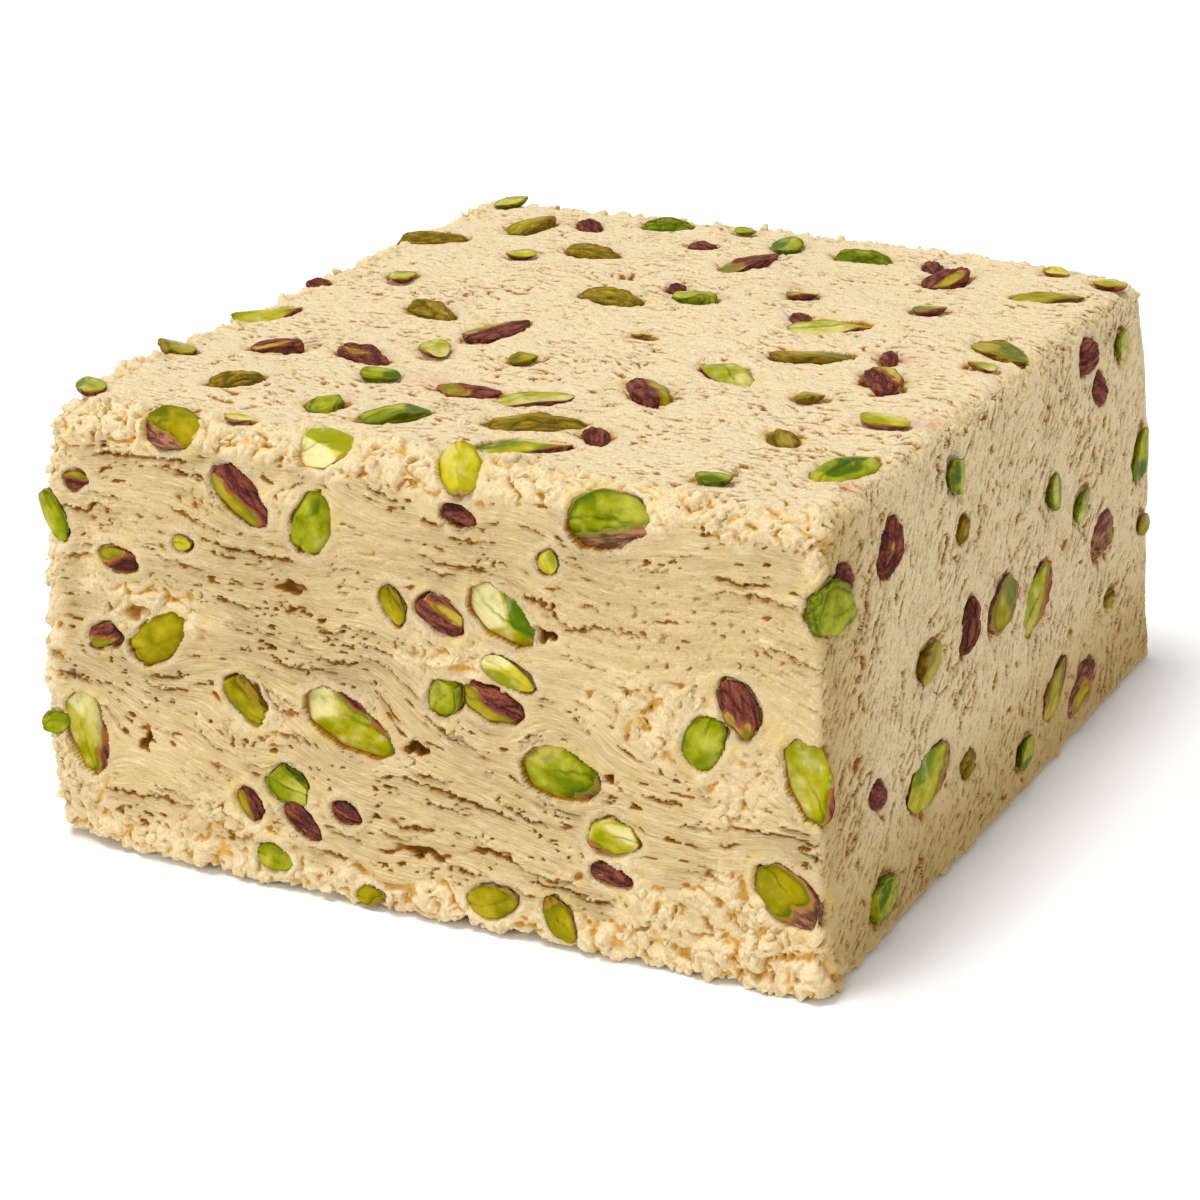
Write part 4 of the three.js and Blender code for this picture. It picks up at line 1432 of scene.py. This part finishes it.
class HALVA_OT_crumbs(bpy.types.Operator):
    """Strew crumbs over the crumbly edges and patches"""

    bl_idname = "halva.crumbs"
    bl_label = "Crumbs"

    def execute(self, context):
        sizes = context.scene.halva_sizes
        ground = bpy.data.collections.new("crumb_ground")
        for piece in context.scene.objects:
            if piece.name.startswith("halva_") and piece.name != "halva_core":
                ground.objects.link(piece)
        tree = crumb_group()
        bare = new_object("crumb_source", bpy.data.meshes.new("crumb_source"))
        modifier = bare.modifiers.new("Crumbs", "NODES")
        modifier.node_group = tree
        values = {
            "Ground": ground, "Density": sizes.crumb_density, "Size": sizes.crumb_size, "Seed": sizes.seed,
            "Material": bpy.data.materials["sesame_halva"],
        }
        for item in tree.interface.items_tree:
            if item.in_out == "INPUT" and item.name in values:
                modifier[item.identifier] = values[item.name]
        bare.update_tag()
        context.view_layer.update()
        mesh = bpy.data.meshes.new_from_object(bare.evaluated_get(context.evaluated_depsgraph_get()))
        if not mesh.polygons:
            raise RuntimeError("no crumbs were strewn")
        bpy.data.objects.remove(bare)
        bpy.data.collections.remove(ground)
        places = np.empty(len(mesh.vertices) * 3, np.float32)
        mesh.vertices.foreach_get("co", places)
        places[2::3] = np.maximum(places[2::3], CRUMB_LOWEST)
        mesh.vertices.foreach_set("co", places)
        mesh.update()
        piece = new_object("halva_crumbs", mesh)
        finished(piece, "halva")
        return {"FINISHED"}


class HALVA_OT_stage(bpy.types.Operator):
    """Make the pale floor, the lights and the camera"""

    bl_idname = "halva.stage"
    bl_label = "Stage"

    def execute(self, context):
        scene = context.scene
        material, _, shader = new_material("floor")
        shader.inputs["Base Color"].default_value = (FLOOR_SHADE, FLOOR_SHADE, FLOOR_SHADE, 1)
        shader.inputs["Roughness"].default_value = FLOOR_ROUGHNESS
        mesh = bpy.data.meshes.new("floor")
        corners = [(x * FLOOR_REACH, y * FLOOR_REACH, 0) for x, y in ((-1, -1), (1, -1), (1, 1), (-1, 1))]
        mesh.from_pydata(corners, [], [(0, 1, 2, 3)])
        mesh.materials.append(material)
        floor = new_object("floor", mesh)

        scene.world = bpy.data.worlds.new("studio")
        scene.world.use_nodes = True
        background = scene.world.node_tree.nodes["Background"]
        background.inputs["Color"].default_value = (1, 1, 1, 1)
        background.inputs["Strength"].default_value = WORLD_STRENGTH
        for name, towards, softness, strength in LAMPS:
            light = bpy.data.lights.new(name, "SUN")
            light.angle = math.radians(softness)
            light.energy = strength * math.pi
            new_object(name, light).rotation_euler = Vector(towards).to_track_quat("Z", "Y").to_euler()
        scene.view_settings.view_transform = "Standard"

        lens = bpy.data.cameras.new("camera")
        lens.lens = LENS
        lens.sensor_width = SENSOR
        lens.clip_end = 50
        azimuth, elevation = math.radians(AZIMUTH), math.radians(ELEVATION)
        flat = math.cos(elevation)
        back = Vector((math.sin(azimuth) * flat, -math.cos(azimuth) * flat, math.sin(elevation)))
        camera = new_object("camera", lens)
        camera.location = Vector(TARGET) + back * DISTANCE
        camera.rotation_euler = back.to_track_quat("Z", "Y").to_euler()
        scene.camera = camera
        return {"FINISHED"}


class HALVA_PT_panel(bpy.types.Panel):
    """The halva's settings and the steps that build it"""

    bl_idname = "HALVA_PT_panel"
    bl_label = "Pistachio Halva"
    bl_space_type = "VIEW_3D"
    bl_region_type = "UI"
    bl_category = "Halva"

    def draw(self, context):
        scene = context.scene
        for group in (scene.halva_sizes, scene.halva_colours):
            box = self.layout.box()
            for key in group.__annotations__:
                box.prop(group, key)
        for step in STEPS:
            self.layout.operator(step.bl_idname)


STEPS = (
    HALVA_OT_materials,
    HALVA_OT_kernels,
    HALVA_OT_chips,
    HALVA_OT_block,
    HALVA_OT_core,
    HALVA_OT_crumbs,
    HALVA_OT_stage,
)
CLASSES = (HalvaColours, HalvaSizes, *STEPS, HALVA_PT_panel)


def register():
    for kind in CLASSES:
        bpy.utils.register_class(kind)
    bpy.types.Scene.halva_colours = PointerProperty(type=HalvaColours)
    bpy.types.Scene.halva_sizes = PointerProperty(type=HalvaSizes)


def unregister():
    del bpy.types.Scene.halva_sizes
    del bpy.types.Scene.halva_colours
    for kind in reversed(CLASSES):
        bpy.utils.unregister_class(kind)


def main():
    register()
    for step in STEPS:
        group, name = step.bl_idname.split(".")
        getattr(getattr(bpy.ops, group), name)()


if __name__ == "__main__":
    main()
